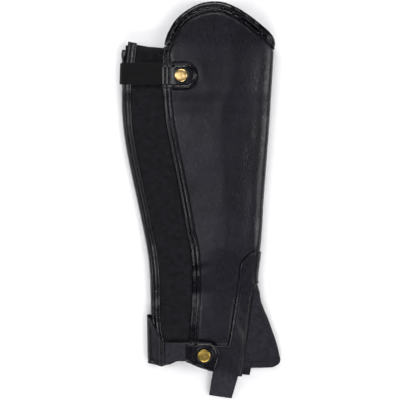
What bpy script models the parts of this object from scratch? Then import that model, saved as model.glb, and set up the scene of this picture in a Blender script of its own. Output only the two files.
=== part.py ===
"""Half chap (riding gaiter), zipped shut and laid flat on its inner side.

The gaiter is a flattened tube. Every piece is cut in pattern space, where a is the
distance round the tube from its front fold (plus on the outer side, minus underneath)
and y runs up the leg, and is then laid on the tube at a height d above the cloth's face.
Metres, +Z up, +Y towards the knee, +X towards the shin. The origin is under the middle.
"""

import math

import bmesh
import bpy
import numpy as np
from mathutils import Vector

MM = 0.001

# Cloth and the room it needs
LEATHER = 1.8 * MM           # wall of the main panel and the tabs
OVERLAY = 1.2 * MM           # wall of the ankle overlay
HEEL = 1.5 * MM              # wall of the lower strap's leather base
ELASTIC = 1.4 * MM           # wall of everything elastic
TAPE = 0.9 * MM              # wall of the zip's tape
GAP = 0.3 * MM               # room between pieces that are sewn edge to edge
UNDER = 0.35 * MM            # room under a piece that lies on another

# Folds and rows
ROUND = 0.58                 # a fold's depth over its height, a little fuller than round
LOW_ROW = -170 * MM          # rows of the panels are level from here
HIGH_ROW = 130 * MM          # up to here, and then fan out to the top curve
ROW_STEP = 15 * MM
TOP_STEPS = 7

# Where pieces begin and end
NOTCH_TOP = -97 * MM         # head of the slit for the instep gore
GORE_HEM = -182.6 * MM
GORE_GAP = 0.4 * MM
OVERLAY_STEP = -170.5 * MM   # below this the overlay reaches back to the heel
OVERLAY_HEEL_X = 8 * MM
BINDING_STARTS = 3.2 * MM    # bare edge at both ends of the top binding
CHAIN_HALF = 2.1 * MM
STRIP_COVER = 4.0 * MM       # how far the back strip lies over the zip's tape
TAPE_SHOWN = 4.0 * MM
STRIP_REACH = 4.4 * MM       # how far the front strip reaches behind its seam

# Press studs
SNAP_CAP = 7.6 * MM          # radius
SNAP_CAP_HEIGHT = 2.2 * MM
SNAP_STUD = 5.0 * MM         # radius


def table(columns, rows):
    """A table in millimetres as named arrays in metres, sorted by its first column."""
    data = np.array(sorted(rows), float) * MM
    return {name: data[:, k] for k, name in enumerate(columns)}


def smooth(keys, values, at):
    """Reads a table between its rows with a cubic that never overshoots them."""
    at = float(np.clip(at, keys[0], keys[-1]))
    i = int(np.clip(np.searchsorted(keys, at) - 1, 0, len(keys) - 2))
    steps = np.diff(keys)
    slopes = np.diff(values) / steps

    def tangent(k):
        if k in (0, len(keys) - 1):
            return slopes[min(k, len(slopes) - 1)]
        before, after = slopes[k - 1], slopes[k]
        return 0.0 if before * after <= 0 else 2 * before * after / (before + after)

    h = steps[i]
    t = (at - keys[i]) / h
    return (
        (2 * t**3 - 3 * t**2 + 1) * values[i]
        + (t**3 - 2 * t**2 + t) * h * tangent(i)
        + (3 * t**2 - 2 * t**3) * values[i + 1]
        + (t**3 - t**2) * h * tangent(i + 1)
    )


# The tube: its two folds as seen from above, and how thick it lies
TUBE = table(
    ("y", "back_x", "front_x", "front_height", "back_height", "crown", "lift"),
    [
        (235, -89.5, 86.3, 13.5, 9.0, 2.5, 2.1),
        (200, -89.5, 86.3, 18.0, 9.5, 3.5, 2.1),
        (178, -89.5, 86.3, 20.0, 10.5, 4.0, 2.1),
        (150, -90.7, 85.0, 20.5, 10.5, 4.5, 2.1),
        (131, -91.2, 83.8, 20.5, 10.5, 4.5, 2.1),
        (112, -91.4, 82.7, 20.5, 10.0, 4.5, 0.9),
        (94, -90.5, 81.6, 20.5, 10.0, 4.5, 0.0),
        (60, -86.0, 79.2, 20.5, 10.0, 4.0, 0.0),
        (30, -80.0, 76.9, 20.0, 10.0, 3.5, 0.0),
        (0, -73.4, 74.6, 19.5, 10.0, 3.0, 0.0),
        (-20, -69.1, 73.5, 19.0, 10.0, 3.0, 0.0),
        (-42, -64.6, 72.1, 18.5, 10.0, 2.5, 1.2),
        (-56, -61.9, 70.7, 18.0, 10.0, 2.5, 1.9),
        (-64, -60.7, 70.0, 17.5, 10.0, 2.5, 1.9),
        (-76, -59.3, 68.3, 16.5, 10.0, 2.5, 1.9),
        (-92, -58.3, 66.7, 15.0, 10.0, 2.5, 1.9),
        (-101, -58.1, 68.0, 14.0, 10.0, 2.5, 1.9),
        (-108, -57.9, 70.0, 13.0, 10.0, 2.5, 1.9),
        (-116, -57.6, 71.0, 12.5, 10.0, 3.0, 1.9),
        (-127, -57.5, 74.6, 12.0, 10.5, 3.5, 1.9),
        (-137, -57.4, 79.0, 11.5, 10.5, 4.0, 2.0),
        (-150, -57.3, 83.8, 11.0, 10.5, 4.5, 2.0),
        (-172, -57.0, 91.0, 10.5, 10.5, 4.5, 2.0),
        (-188, -56.7, 93.9, 10.0, 10.5, 4.5, 2.0),
        (-215, -56.5, 92.4, 10.0, 10.5, 4.5, 2.0),
    ],
)

# Seams up the leg: the panel's and the back strip's by x, the zip by its distance
# round from the back fold
SEAMS = table(
    ("y", "panel", "strip", "zip"),
    [
        (186, -41.0, -83.8, 2.6), (165, -39.8, -86.0, 2.4), (150, -39.4, -88.0, 1.0),
        (135, -39.5, -90.0, -0.4), (115, -38.6, -90.3, -1.0), (90, -35.7, -89.0, -1.0),
        (60, -30.1, -84.8, -1.0), (30, -24.2, -78.9, -1.0), (0, -18.3, -72.3, -1.0),
        (-30, -12.7, -65.9, -1.0), (-60, -6.8, -60.2, -1.0), (-90, -4.8, -57.1, -1.0),
        (-120, -5.3, -56.4, -1.0), (-140, -6.7, -56.0, -1.0), (-155, -7.8, -54.8, -0.4),
        (-170, -8.6, -51.8, 0.6), (-200, -9.8, -49.4, 1.2),
    ],
)

# Edges of the gore's slit by x, on the outer side and underneath
NOTCH = table(
    ("y", "outer", "inner"),
    [
        (-97, 67.0, 67.0), (-101, 65.6, 66.2), (-106, 63.5, 65.2), (-120, 60.6, 63.6),
        (-150, 56.8, 61.4), (-180, 52.5, 59.6), (-215, 47.6, 57.6),
    ],
)

# Rear edge of the ankle overlay by x
OVERLAY_EDGE = table(
    ("y", "x"),
    [
        (-60.3, 61.6), (-62.5, 58.8), (-65.4, 55.9), (-69.5, 51.8), (-74.2, 48.8), (-80, 47.3),
        (-94, 45.9), (-115, 42.8), (-141, 38.7), (-164, 35.0), (-170.5, 33.8), (-215, 31.0),
    ],
)

# The raised curve of the outer side's top edge, by x, from behind to the front
TOP_CURVE = table(
    ("x", "y"),
    [
        (-40.6, 177.4), (-39.2, 186.0), (-34.6, 197.6), (-27.6, 208.8), (-18.4, 217.6),
        (-9.2, 223.6), (0.4, 228.0), (9.4, 230.1), (18.4, 230.7), (27.8, 229.4), (35.0, 227.0),
        (46.4, 221.4), (58.0, 213.8), (69.6, 204.6), (78.0, 197.4), (83.6, 191.6),
    ],
)
TOP_AT_FOLD = 184.6 * MM
TOP_UNDER = table(("round", "y"), [(-175, 173.0), (-60, 175.0), (-14, 181.0), (0, 184.6)])

# Lower edges by x, on the outer side and underneath
FOOT_OUTER = table(
    ("x", "y"),
    [
        (-60, -191.5), (-50, -194.0), (-37, -192.6), (-25, -188.6), (-15, -188.6), (-6, -191.0),
        (5, -193.0), (18, -193.8), (29, -197.0), (37, -199.4), (44, -202.6), (48.3, -206.0),
        (60, -207.0),
    ],
)
FOOT_INNER = table(
    ("x", "y"),
    [(-60, -187.5), (-35, -186.5), (-10, -186.5), (15, -189.5), (38, -198.0), (50, -204.0), (60, -205.5)],
)


def profile(y):
    """The tube's cross-section at y: two dense curves from the front fold to the back fold.

    Each is (distance, points, outward normals). The first runs over the outer side and
    the second along the underside.
    """
    key = round(float(y), 7)
    if key in profile.kept:
        return profile.kept[key]
    back, front, high, low, crown, lift = (
        smooth(TUBE["y"], TUBE[column], y)
        for column in ("back_x", "front_x", "front_height", "back_height", "crown", "lift")
    )
    turn = np.linspace(0, math.pi / 2, 25)
    span = np.linspace(0, 1, 161)[1:-1]
    x_front, x_back = front - ROUND * high, back + ROUND * low
    x_span = x_front + (x_back - x_front) * span
    ease = 3 * span**2 - 2 * span**3
    over = lift + high + (low - high) * ease + crown * np.sin(math.pi * span) ** 2
    halves = []
    for side, z_span in ((1, over), (-1, np.full(len(span), lift))):
        front_fold = [x_front + ROUND * high * np.cos(turn), lift + high / 2 * (1 + side * np.sin(turn))]
        end = turn[::-1]
        back_fold = [x_back - ROUND * low * np.cos(end), lift + low / 2 * (1 + side * np.sin(end))]
        points = np.hstack([front_fold, [x_span, z_span], back_fold]).T
        along = np.gradient(points, axis=0)
        along /= np.linalg.norm(along, axis=1)[:, None]
        normals = np.column_stack([along[:, 1], -along[:, 0]]) * side
        normals[0], normals[-1] = (1, 0), (-1, 0)
        steps = np.linalg.norm(np.diff(points, axis=0), axis=1)
        halves.append((np.concatenate([[0], np.cumsum(steps)]), points, normals))
    profile.kept[key] = halves
    return halves


profile.kept = {}


def girth(y, side=0):
    """Distance from the front fold to the back fold, over the outer side or underneath."""
    return profile(y)[side][0][-1]


def place(a, y, d=0.0):
    """The point at distance a round from the front fold and height y, d above the cloth."""
    over, under = girth(y), girth(y, 1)
    if a > over:
        a -= over + under
    elif a < -under:
        a += over + under
    distance, points, normals = profile(y)[0 if a >= 0 else 1]
    x, z, nx, nz = (np.interp(abs(a), distance, v) for v in (*points.T, *normals.T))
    size = math.hypot(nx, nz)
    return Vector((x + d * nx / size, y, z + d * nz / size))


def round_at(x, y, side=0):
    """Distance round of the point at x on the outer side, or underneath."""
    distance, points, _ = profile(y)[side]
    found = float(np.interp(-x, -points[:, 0], distance))
    return found if side == 0 else -found


def from_back(b, y):
    """Distance round of the point b from the back fold, plus on the outer side."""
    return girth(y) - b


def panel_seam(y):
    return round_at(smooth(SEAMS["y"], SEAMS["panel"], y), y)


def strip_edge(y):
    """Rear edge of the back strip."""
    return round_at(smooth(SEAMS["y"], SEAMS["strip"], y), y)


def zip_line(y):
    """Middle of the zip's chain."""
    return from_back(smooth(SEAMS["y"], SEAMS["zip"], y), y)


def inner_edge(y):
    """Where the main panel ends at the zip, counted backwards underneath."""
    return zip_line(y) + CHAIN_HALF + GAP + TAPE_SHOWN + GAP - girth(y) - girth(y, 1)


def slit(y, side, margin=0.0):
    """Edge of the gore's slit, drawn back by a margin, or the front fold above the slit."""
    if y >= NOTCH_TOP:
        return 0.0
    edge = round_at(smooth(NOTCH["y"], NOTCH["outer" if side == 0 else "inner"], y), y, side)
    return edge + math.copysign(min(margin, abs(edge) / 3), edge)


def foot_y(edges, a, y):
    """y of a lower edge straight below the point (a, y)."""
    return smooth(edges["x"], edges["y"], place(a, y).x)


def blend(start, end, t):
    return tuple(p + (q - p) * t for p, q in zip(start, end))


# ---------------------------------------------------------------- making solids


def material(name, colour, roughness, metallic=0.0):
    made = bpy.data.materials.new(name)
    made.use_nodes = True
    shader = made.node_tree.nodes["Principled BSDF"]
    shader.inputs["Base Color"].default_value = (*colour, 1)
    shader.inputs["Roughness"].default_value = roughness
    shader.inputs["Metallic"].default_value = metallic
    return made


def finish(name, bm, look):
    """Turns a bmesh into one closed, smooth-shaded object."""
    bmesh.ops.recalc_face_normals(bm, faces=bm.faces)
    mesh = bpy.data.meshes.new(name)
    bm.to_mesh(mesh)
    bm.free()
    mesh.shade_smooth()
    mesh.set_sharp_from_angle(angle=math.radians(40))
    mesh.materials.append(look)
    made = bpy.data.objects.new(name, mesh)
    bpy.context.scene.collection.objects.link(made)
    return made


def sheet(name, look, grids, top, bottom, shape=place):
    """A closed piece of cloth from grids of (a, y) points, which may share an edge.

    top and bottom are the heights of its faces, as numbers or as functions of a point.
    """
    bm = bmesh.new()
    corners = {}

    def corner(point):
        key = (round(point[0], 6), round(point[1], 6))
        if key not in corners:
            corners[key] = [
                bm.verts.new(shape(*point, rule(*point) if callable(rule) else rule))
                for rule in (top, bottom)
            ]
        return corners[key]

    rims = {}
    for grid in grids:
        for low, high in zip(grid, grid[1:]):
            for j in range(len(low) - 1):
                ring = [corner(p) for p in (low[j], low[j + 1], high[j + 1], high[j])]
                ring = [c for k, c in enumerate(ring) if c is not ring[k - 1]]
                if len(ring) < 3:
                    continue
                bm.faces.new([c[0] for c in ring])
                bm.faces.new([c[1] for c in reversed(ring)])
                for k, c in enumerate(ring):
                    edge = frozenset((id(c), id(ring[k - 1])))
                    rims[edge] = None if edge in rims else (ring[k - 1], c)
    for rim in rims.values():
        if rim:
            (top_a, low_a), (top_b, low_b) = rim
            bm.faces.new([top_b, top_a, low_a, low_b])
    return finish(name, bm, look)


def sweep(name, look, rings):
    """A closed solid through equal rings of points, capped at both ends."""
    bm = bmesh.new()
    loops = [[bm.verts.new(p) for p in ring] for ring in rings]
    for before, after in zip(loops, loops[1:]):
        for k in range(len(before)):
            bm.faces.new([before[k - 1], before[k], after[k], after[k - 1]])
    caps = [bm.faces.new(loops[0]), bm.faces.new(loops[-1])]
    for cap in caps:
        cap.normal_update()
    bmesh.ops.triangulate(bm, faces=caps)
    return finish(name, bm, look)


def turned(name, look, outline, a, y, d, sides=28):
    """A turned piece from (radius, height) pairs, standing on the cloth at (a, y)."""
    bm = bmesh.new()
    stations = [(0.0, outline[0][1]), *outline, (0.0, outline[-1][1])]
    line = [bm.verts.new((r, 0, h)) for r, h in stations]
    edges = [bm.edges.new(pair) for pair in zip(line, line[1:])]
    bmesh.ops.spin(
        bm, geom=line + edges, cent=(0, 0, 0), axis=(0, 0, 1), angle=2 * math.pi, steps=sides, use_merge=True
    )
    bmesh.ops.remove_doubles(bm, verts=bm.verts, dist=0.001 * MM)
    made = finish(name, bm, look)
    along = place(a, y + MM, d) - place(a, y - MM, d)
    across = place(a - MM, y, d) - place(a + MM, y, d)
    made.location = place(a, y, d)
    made.rotation_mode = "QUATERNION"
    made.rotation_quaternion = Vector((0, 0, 1)).rotation_difference(across.cross(along))
    return made


def rises(stations, at):
    """Height above the cloth, in metres, read from (where, height) pairs in millimetres."""
    where, height = zip(*[station[:2] for station in stations])
    return float(np.interp(at / MM, where, height)) * MM


# ---------------------------------------------------------------- the cut of the panels

# Columns close to the front fold, the same in every layer there so that they nest
AT_FOLD = [v * MM for v in (0, 1.6, 3.2, 4.9, 6.8, 9.4, 12.4)]
OUTER_MIDDLE = (
    0.03, 0.07, 0.12, 0.18, 0.24, 0.3, 0.36, 0.42, 0.48, 0.54, 0.6, 0.66, 0.72, 0.78, 0.84, 0.9, 0.95
)
INNER_MIDDLE = (0.03, 0.08, 0.18, 0.33, 0.5, 0.67, 0.82, 0.92)
INNER_TAIL = [v * MM for v in (8, 4.5, 2, 0)]

LEVEL_ROWS = [LOW_ROW + k * ROW_STEP for k in range(round((HIGH_ROW - LOW_ROW) / ROW_STEP) + 1)]
LEVEL_ROWS = [y for y in LEVEL_ROWS if abs(y - NOTCH_TOP) > 5 * MM]
APEX_ROWS = [NOTCH_TOP, *(y * MM for y in (-98, -99.3, -101.5, -105))]
LEVEL_ROWS = sorted([*LEVEL_ROWS, GORE_HEM, *APEX_ROWS, *(y * MM for y in (-61, -70))])
STRIP_ROWS = [-176 * MM, *LEVEL_ROWS[1:], *(y * MM for y in (140, 150, 160, 168))]


def columns(start, end, middle, tail=(0.0,)):
    """Distances from start to end: set ones at the fold, shares between, set ones at the end."""
    way = math.copysign(1, end - start)
    first, last = start + way * AT_FOLD[-1], end - way * tail[0]
    at_fold = [start + way * f for f in AT_FOLD]
    return at_fold + [first + (last - first) * m for m in middle] + [end - way * t for t in tail]


def resample(points, shares):
    """Points at shares of the way along a line of points."""
    points = np.array(points, float)
    length = np.concatenate([[0], np.cumsum(np.linalg.norm(np.diff(points, axis=0), axis=1))])
    return [tuple(float(np.interp(s * length[-1], length, points[:, k])) for k in range(2)) for s in shares]


def outer_top_line():
    """The raised curve as dense (a, y) points, from the front fold back to the seam."""
    line = []
    for x in np.linspace(TOP_CURVE["x"][0], TOP_CURVE["x"][-1], 240):
        y = smooth(TOP_CURVE["x"], TOP_CURVE["y"], x)
        line.append((round_at(x, y), y))
    line[0] = (panel_seam(line[0][1]), line[0][1])
    return [(0.0, TOP_AT_FOLD), *reversed(line)]


def inner_top_line():
    """The top edge underneath as dense (a, y) points, from the front fold back to the zip."""
    low = TOP_UNDER["y"][0]
    inside = np.linspace(0, inner_edge(low), 160)
    return [(a, smooth(TOP_UNDER["round"], TOP_UNDER["y"], a)) for a in inside[:-1]] + [(inside[-1], low)]


def top_points(side):
    """The main panel's top edge, one point for each of its columns."""
    line = outer_top_line() if side == 0 else inner_top_line()
    middle, tail = (OUTER_MIDDLE, [0.0]) if side == 0 else (INNER_MIDDLE, INNER_TAIL)
    way = 1 if side == 0 else -1
    distances, heights = [way * a for a, _ in line], [y for _, y in line]
    at_fold = [(way * f, float(np.interp(f, distances, heights))) for f in AT_FOLD]
    rest = [at_fold[-1], *(p for p in line if way * p[0] > AT_FOLD[-1])]
    span = sum(math.dist(p, q) for p, q in zip(rest, rest[1:]))
    shares = [m * (1 - tail[0] / span) for m in middle] + [1 - t / span for t in tail]
    return at_fold + resample(rest, shares)


def panel_grid(side):
    """Rows of the main panel on one side, from its lower edge to its top edge."""
    if side == 0:
        middle, tail, far, feet_table = OUTER_MIDDLE, (0.0,), panel_seam, FOOT_OUTER
    else:
        middle, tail, far, feet_table = INNER_MIDDLE, INNER_TAIL, inner_edge, FOOT_INNER

    def row(y):
        return [(a, y) for a in columns(slit(y, side), far(y), middle, tail)]

    first, last = row(LEVEL_ROWS[0]), row(LEVEL_ROWS[-1])
    ends = [foot_y(feet_table, a, y) for a, y in first]
    feet = columns(slit(ends[0], side), far(ends[-1]), middle, tail)
    grid = [list(zip(feet, ends)), *map(row, LEVEL_ROWS)]
    tops = top_points(side)
    for k in range(1, TOP_STEPS + 1):
        line = [blend(p, q, k / TOP_STEPS) for p, q in zip(last, tops)]
        edge_a, edge_y = line[-1]
        reach = [max(0.0, (abs(a) - AT_FOLD[-1]) / (abs(edge_a) - AT_FOLD[-1])) ** 3 for a, _ in line]
        grid.append([(a + r * (far(edge_y) - edge_a), y) for (a, y), r in zip(line, reach)])
    return grid


def main_panel(look):
    return sheet("main_panel", look, [panel_grid(0), panel_grid(1)], 0.0, -LEATHER)


def stretch_panel(look):
    """The elastic between the main panel and the zip."""
    shares = (0, 0.25, 0.5, 0.75, 1)
    head = [v * MM for v in (177.6, 178.4, 179.3, 181.0, 183.4)]

    def row(heights):
        line = []
        for y, share in zip(heights, shares):
            start, end = panel_seam(y) + GAP, strip_edge(y) - STRIP_COVER - GAP
            line.append((start + (end - start) * share, y))
        return line

    rows = [row([y] * len(shares)) for y in STRIP_ROWS]
    feet = [foot_y(FOOT_OUTER, a, y) for a, y in rows[0]]
    rows = [row(feet), *rows, row([(STRIP_ROWS[-1] + y) / 2 for y in head]), row(head)]
    return sheet("stretch_panel", look, [rows], -0.2 * MM, -0.2 * MM - ELASTIC)


# Faces of the strips: distance round from their edge and height, in millimetres
FRONT_RIDGES = ((0, 0.7), (0.9, 1.6), (2.4, 1.9), (4.0, 0.9), (5.0, 0.9), (6.1, 1.7), (7.4, 1.5), (8.6, 0.6))
BACK_RIDGES = ((-10.2, 0.7), (-8.6, 1.2), (-7.6, 0.8), (-5.2, 1.85), (-3.2, 0.9), (-1.6, 1.6), (0, 0.6))


def ridged_strip(name, look, ridges, edge, rows, slant=0.0):
    """A leather strip over a seam, stitched into ridges, with its head cut at a slant."""
    grid = [[(edge(y) + o * MM, y) for o, _ in ridges] for y in rows]
    last = rows[-1]
    grid[-1] = [(edge(last) + o * MM, last + slant * (o - ridges[0][0]) * MM) for o, _ in ridges]

    def face(a, y):
        return rises(ridges, a - edge(min(y, last)))

    return sheet(name, look, [grid], face, UNDER)


def zip_rows(low, high):
    return [low * MM, *(y for y in STRIP_ROWS if low * MM < y < high * MM), high * MM]


def zip_tapes(look):
    """The tape on each side of the chain, the outer one running in under the back strip."""
    outer, inner = [], []
    for y in zip_rows(-189, 182.6):
        start, end = strip_edge(y) - STRIP_COVER, zip_line(y) - CHAIN_HALF - GAP
        outer.append([(start + (end - start) * t, y) for t in (0, 0.4, 0.7, 1)])
    for y in zip_rows(-186, 175.5):
        start = zip_line(y) + CHAIN_HALF + GAP
        inner.append([(start + TAPE_SHOWN * t, y) for t in (0, 0.5, 1)])
    sheet("zip_tape_outer", look, [outer], -0.1 * MM, -TAPE)
    sheet("zip_tape_inner", look, [inner], -0.1 * MM, -TAPE)


def zip_chain(look):
    grid = [[(zip_line(y) + s * CHAIN_HALF, y) for s in (-1, 0, 1)] for y in zip_rows(-185, 175)]
    return sheet("zip_chain", look, [grid], 0.5 * MM, -1.2 * MM)


# The slider and, below it, its pull: y, half width and height of the face, in millimetres
SLIDER = (
    (176.2, 2.2, 2.0), (175.2, 3.0, 2.9), (170.0, 3.3, 3.1), (165.2, 2.4, 2.4), (163.2, 2.0, 1.5),
    (160.0, 2.0, 1.5), (150.0, 2.0, 1.5), (143.0, 2.0, 1.5),
)


def zip_slider(look):
    """The slider at the head of the zip, with its pull lying down the chain."""
    grid = [[(zip_line(y * MM) + s * w * MM, y * MM) for s in (-1, -0.35, 0.35, 1)] for y, w, _ in SLIDER]
    heights = {round(y * MM, 6): height * MM for y, _, height in SLIDER}
    return sheet("zip_slider", look, [grid], lambda a, y: heights[round(y, 6)], 0.8 * MM)


# The binding's section: depth in from the edge and height above the cloth, in millimetres
BINDING = (
    (-1.7, -0.9), (-1.5, 1.0), (0.4, 2.5), (3.0, 3.0), (5.4, 2.2), (6.5, 1.1), (7.4, 1.3),
    (9.4, 1.1), (9.5, 0.4), (6.5, 0.4), (3.0, 0.4), (-0.4, 0.4), (-0.4, -2.2), (3.5, -2.2),
    (7.5, -2.2), (7.5, -3.1), (3.5, -3.1), (-0.9, -3.0),
)
# How it changes along the edge: share of the way round, factor on its width and its height
BINDING_ALONG = (
    (0, 0.85, 0.8), (0.15, 0.9, 0.9), (0.3, 1.05, 1.0), (0.42, 1.1, 1.0), (0.47, 0.8, 0.55), (1, 0.75, 0.5)
)


def top_binding(look):
    """The rolled leather binding, folded over the top edge all the way round."""
    edge = [*reversed(top_points(0)), *top_points(1)[1:]]
    steps = [math.dist(p, q) for p, q in zip(edge, edge[1:])]
    along = np.concatenate([[0], np.cumsum(steps)])
    ends = (BINDING_STARTS, along[-1] - BINDING_STARTS)
    inside = [k for k, s in enumerate(along) if ends[0] + 3 * MM < s < ends[1] - 3 * MM]
    first, last = (float(np.interp(s, along, range(len(edge)))) for s in ends)
    keys, wide_at, high_at = zip(*BINDING_ALONG)

    def at(station):
        k = min(int(station), len(edge) - 2)
        return np.array(blend(edge[k], edge[k + 1], station - k))

    rings = []
    for station in (first, *inside, last):
        a, y = at(station)
        tangent = at(min(station + 0.5, len(edge) - 1)) - at(max(station - 0.5, 0))
        inward = np.array([-tangent[1], tangent[0]]) / np.linalg.norm(tangent)
        share = np.interp(station, range(len(edge)), along) / along[-1]
        wide, high = np.interp(share, keys, wide_at), np.interp(share, keys, high_at)
        ring = []
        for depth, height in BINDING:
            depth *= wide if depth > 0 else 1
            height = 0.4 + (height - 0.4) * high if height > 0.4 else height
            ring.append(place(a + depth * MM * inward[0], y + depth * MM * inward[1], height * MM))
        rings.append(ring)
    return sweep("top_binding", look, rings)


def overlay_grids(side):
    """The ankle overlay on one side, from the front fold back to its stitched edge."""
    middle = (0.12, 0.3, 0.6) if side == 0 else (0.3, 0.65)
    feet_table = FOOT_OUTER if side == 0 else FOOT_INNER
    shared_rows = [y for y in LEVEL_ROWS if OVERLAY_STEP + 5 * MM < y < -76 * MM]
    corner_rows = [y * MM for y in (-60.3, -62.5, -65.4, -69.5, -74.2)]

    def row(y):
        edge = round_at(smooth(OVERLAY_EDGE["y"], OVERLAY_EDGE["x"], y), y, side)
        return [(a, y) for a in columns(slit(y, side, 0.6 * MM), edge, middle)]

    first = row(GORE_HEM)
    ends = [foot_y(feet_table, a, y) + 0.2 * MM for a, y in first]
    shift = slit(ends[0], side, 0.6 * MM) - first[0][0]
    reach = len(first) - 1
    feet = [(a + shift * (1 - k / reach), end) for k, ((a, _), end) in enumerate(zip(first, ends))]
    lower = [feet, first, row(OVERLAY_STEP)]
    grids = [lower + [row(y) for y in sorted(shared_rows + corner_rows)]]
    if side == 0:
        heel = round_at(OVERLAY_HEEL_X, OVERLAY_STEP)
        heel_foot = foot_y(FOOT_OUTER, heel, GORE_HEM) + 0.2 * MM
        heel_line = [(heel, y) for y in (heel_foot, GORE_HEM, OVERLAY_STEP)]
        starts = [line[-1] for line in lower]
        grids.append([[blend(p, q, t) for t in (0, 0.33, 0.66, 1)] for p, q in zip(starts, heel_line)])
    return grids


def ankle_overlay(look):
    return sheet("ankle_overlay", look, overlay_grids(0) + overlay_grids(1), UNDER + OVERLAY, UNDER)


GORE_FOOT = table(
    ("round", "y"),
    [
        (-60, -196.0), (-12, -195.6), (-5, -192.4), (0, -188.6), (5, -192.4), (12, -195.8), (30, -196.4),
        (60, -195.4),
    ],
)


def instep_gore(look):
    """The elastic gore in the slit, folded at the front, with a thicker hem at its foot."""
    shares = (0, 0.15, 0.3, 0.4, 0.46, 0.5, 0.54, 0.6, 0.7, 0.85, 1)

    def row(y):
        low, high = slit(y, 1) + GORE_GAP, slit(y, 0) - GORE_GAP
        return [(low + (high - low) * share, y) for share in shares]

    feet = [(a, smooth(GORE_FOOT["round"], GORE_FOOT["y"], a)) for a, _ in row(-193 * MM)]
    rows = [GORE_HEM - MM, *(y for y in LEVEL_ROWS if y < NOTCH_TOP - 2 * MM)]

    def face(a, y):
        return 0.4 * MM if y < GORE_HEM - 0.5 * MM else 0.0

    return sheet("instep_gore", look, [[feet, *map(row, rows)]], face, -ELASTIC)


# ---------------------------------------------------------------- straps and press studs

TOP_STRAP_LOW, TOP_STRAP_HIGH = 135.2 * MM, 160.6 * MM
TOP_STRAP_STATIONS = (-38, -26, -16, -12, -9, -6.5, -4, -2, 0, 2, 4, 6, 9, 14, 22, 32, 42)
TOP_STRAP_RISE = ((-38, 0.35), (-12, 0.35), (-6.5, 0.7), (-4, 1.85), (2, 1.9), (6, 2.3), (60, 2.3))
TAB_START, TAB_END, TAB_LOW, TAB_HIGH = -43.4, -3.2, 131.0, 159.2
TAB_RISE = ((-44, 2.4), (-33.2, 2.4), (-27.6, 3.3), (-14.5, 3.3), (-3, 2.0))
TOP_SNAP = (-21.2, 145.4, 3.3)        # x, y and the tab's rise there
LOW_SNAP = (5.2, -181.9, 3.6)


def top_strap(look):
    """Elastic from the underside, round the back fold, to the leather tab."""
    grid = []
    for y in np.linspace(TOP_STRAP_LOW, TOP_STRAP_HIGH, 4):
        line = [(from_back(s * MM, y), y) for s in TOP_STRAP_STATIONS]
        grid.append([*line, (round_at(TAB_START * MM, y) + GAP, y)])

    def under(a, y):
        return rises(TOP_STRAP_RISE, from_back(a, y))

    return sheet("top_strap", look, [grid], lambda a, y: under(a, y) + ELASTIC, under)


def round_tab():
    """Columns of the top tab: x and its lower and upper y there."""
    reach, middle = (TAB_HIGH - TAB_LOW) / 2, (TAB_HIGH + TAB_LOW) / 2
    straight = [(x, TAB_LOW, TAB_HIGH) for x in (TAB_START, -38.5, -34.4, -33.2, -27.6, -21.2)]
    turn = [(math.sin(t), math.cos(t)) for t in np.linspace(0, math.radians(84), 9)]
    centre = TAB_END - reach
    return straight + [(centre + reach * s, middle - reach * c, middle + reach * c) for s, c in turn]


# Columns of the lower tab, whose foot drops towards its end: x, lower and upper y
LOW_TAB = (
    (-15.8, -189.4, -166.4), (-11.6, -191.0, -166.5), (-10.4, -191.6, -166.5), (-6.5, -193.2, -166.5),
    (-1.5, -195.2, -166.6), (5.2, -197.6, -166.7), (12.0, -199.8, -167.0), (15.4, -200.6, -168.2),
    (17.6, -199.6, -169.8), (19.6, -195.0, -172.0), (21.4, -189.6, -175.2), (22.5, -184.6, -179.6),
)
LOW_TAB_RISE = ((-16, 2.3), (-6.5, 2.5), (-1.5, 3.6), (12, 3.6), (23, 2.6))


def tab(name, look, outline, rise, ridge_end):
    """A leather tab that rises over its press stud, thicker where the elastic is sewn in."""
    grid = []
    for share in (0, 0.12, 0.35, 0.65, 0.88, 1):
        heights = [(x * MM, (low + (high - low) * share) * MM) for x, low, high in outline]
        grid.append([(round_at(x, y), y) for x, y in heights])

    def under(a, y):
        return rises(rise, place(a, y).x)

    def face(a, y):
        sewn = 0.5 * MM if place(a, y).x < ridge_end * MM else 0.0
        return under(a, y) + LEATHER + sewn

    return sheet(name, look, [grid], face, under)


def press_stud(prefix, where, cap_look, stud_look):
    """The brass cap on a tab, and the stud on the panel under it."""
    x, y, rise = (v * MM for v in where)
    a = round_at(x, y)
    r, h = SNAP_CAP, SNAP_CAP_HEIGHT
    domed = ((0.86, 0.0), (0.98, 0.2), (1.0, 0.45), (0.95, 0.75), (0.84, 0.93), (0.6, 1.0))
    cap = [(wide * r, tall * h) for wide, tall in domed]
    turned(prefix + "_snap_cap", cap_look, cap, a, y, rise + LEATHER + GAP)
    on_panel = 0.6 * MM
    height = rise - GAP - on_panel
    stud = [(SNAP_STUD, 0.0), (SNAP_STUD, 0.5 * height), (0.8 * SNAP_STUD, height)]
    turned(prefix + "_snap_stud", stud_look, stud, a, y, on_panel, sides=18)


# Columns of the heel leather: distance from the back fold, rise, lower and upper y
HEEL_STRAP = (
    (-27, 0.35, -184.5, -158.0), (-20, 0.35, -185.5, -150.5), (-14, 0.35, -187.0, -142.0),
    (-10, 0.35, -188.5, -138.0), (-6.5, 0.4, -190.0, -135.4), (-3, 0.8, -190.8, -134.2),
    (0, 1.3, -191.2, -134.0), (3, 1.9, -191.4, -137.0), (6, 2.3, -192.0, -142.6),
    (9, 2.3, -193.0, -149.5), (12, 2.3, -194.2, -157.0), (15, 2.3, -195.0, -163.4),
)
HEEL_STRAP_END = (-41.0, -193.4, -166.4)   # x, lower and upper y


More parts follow.
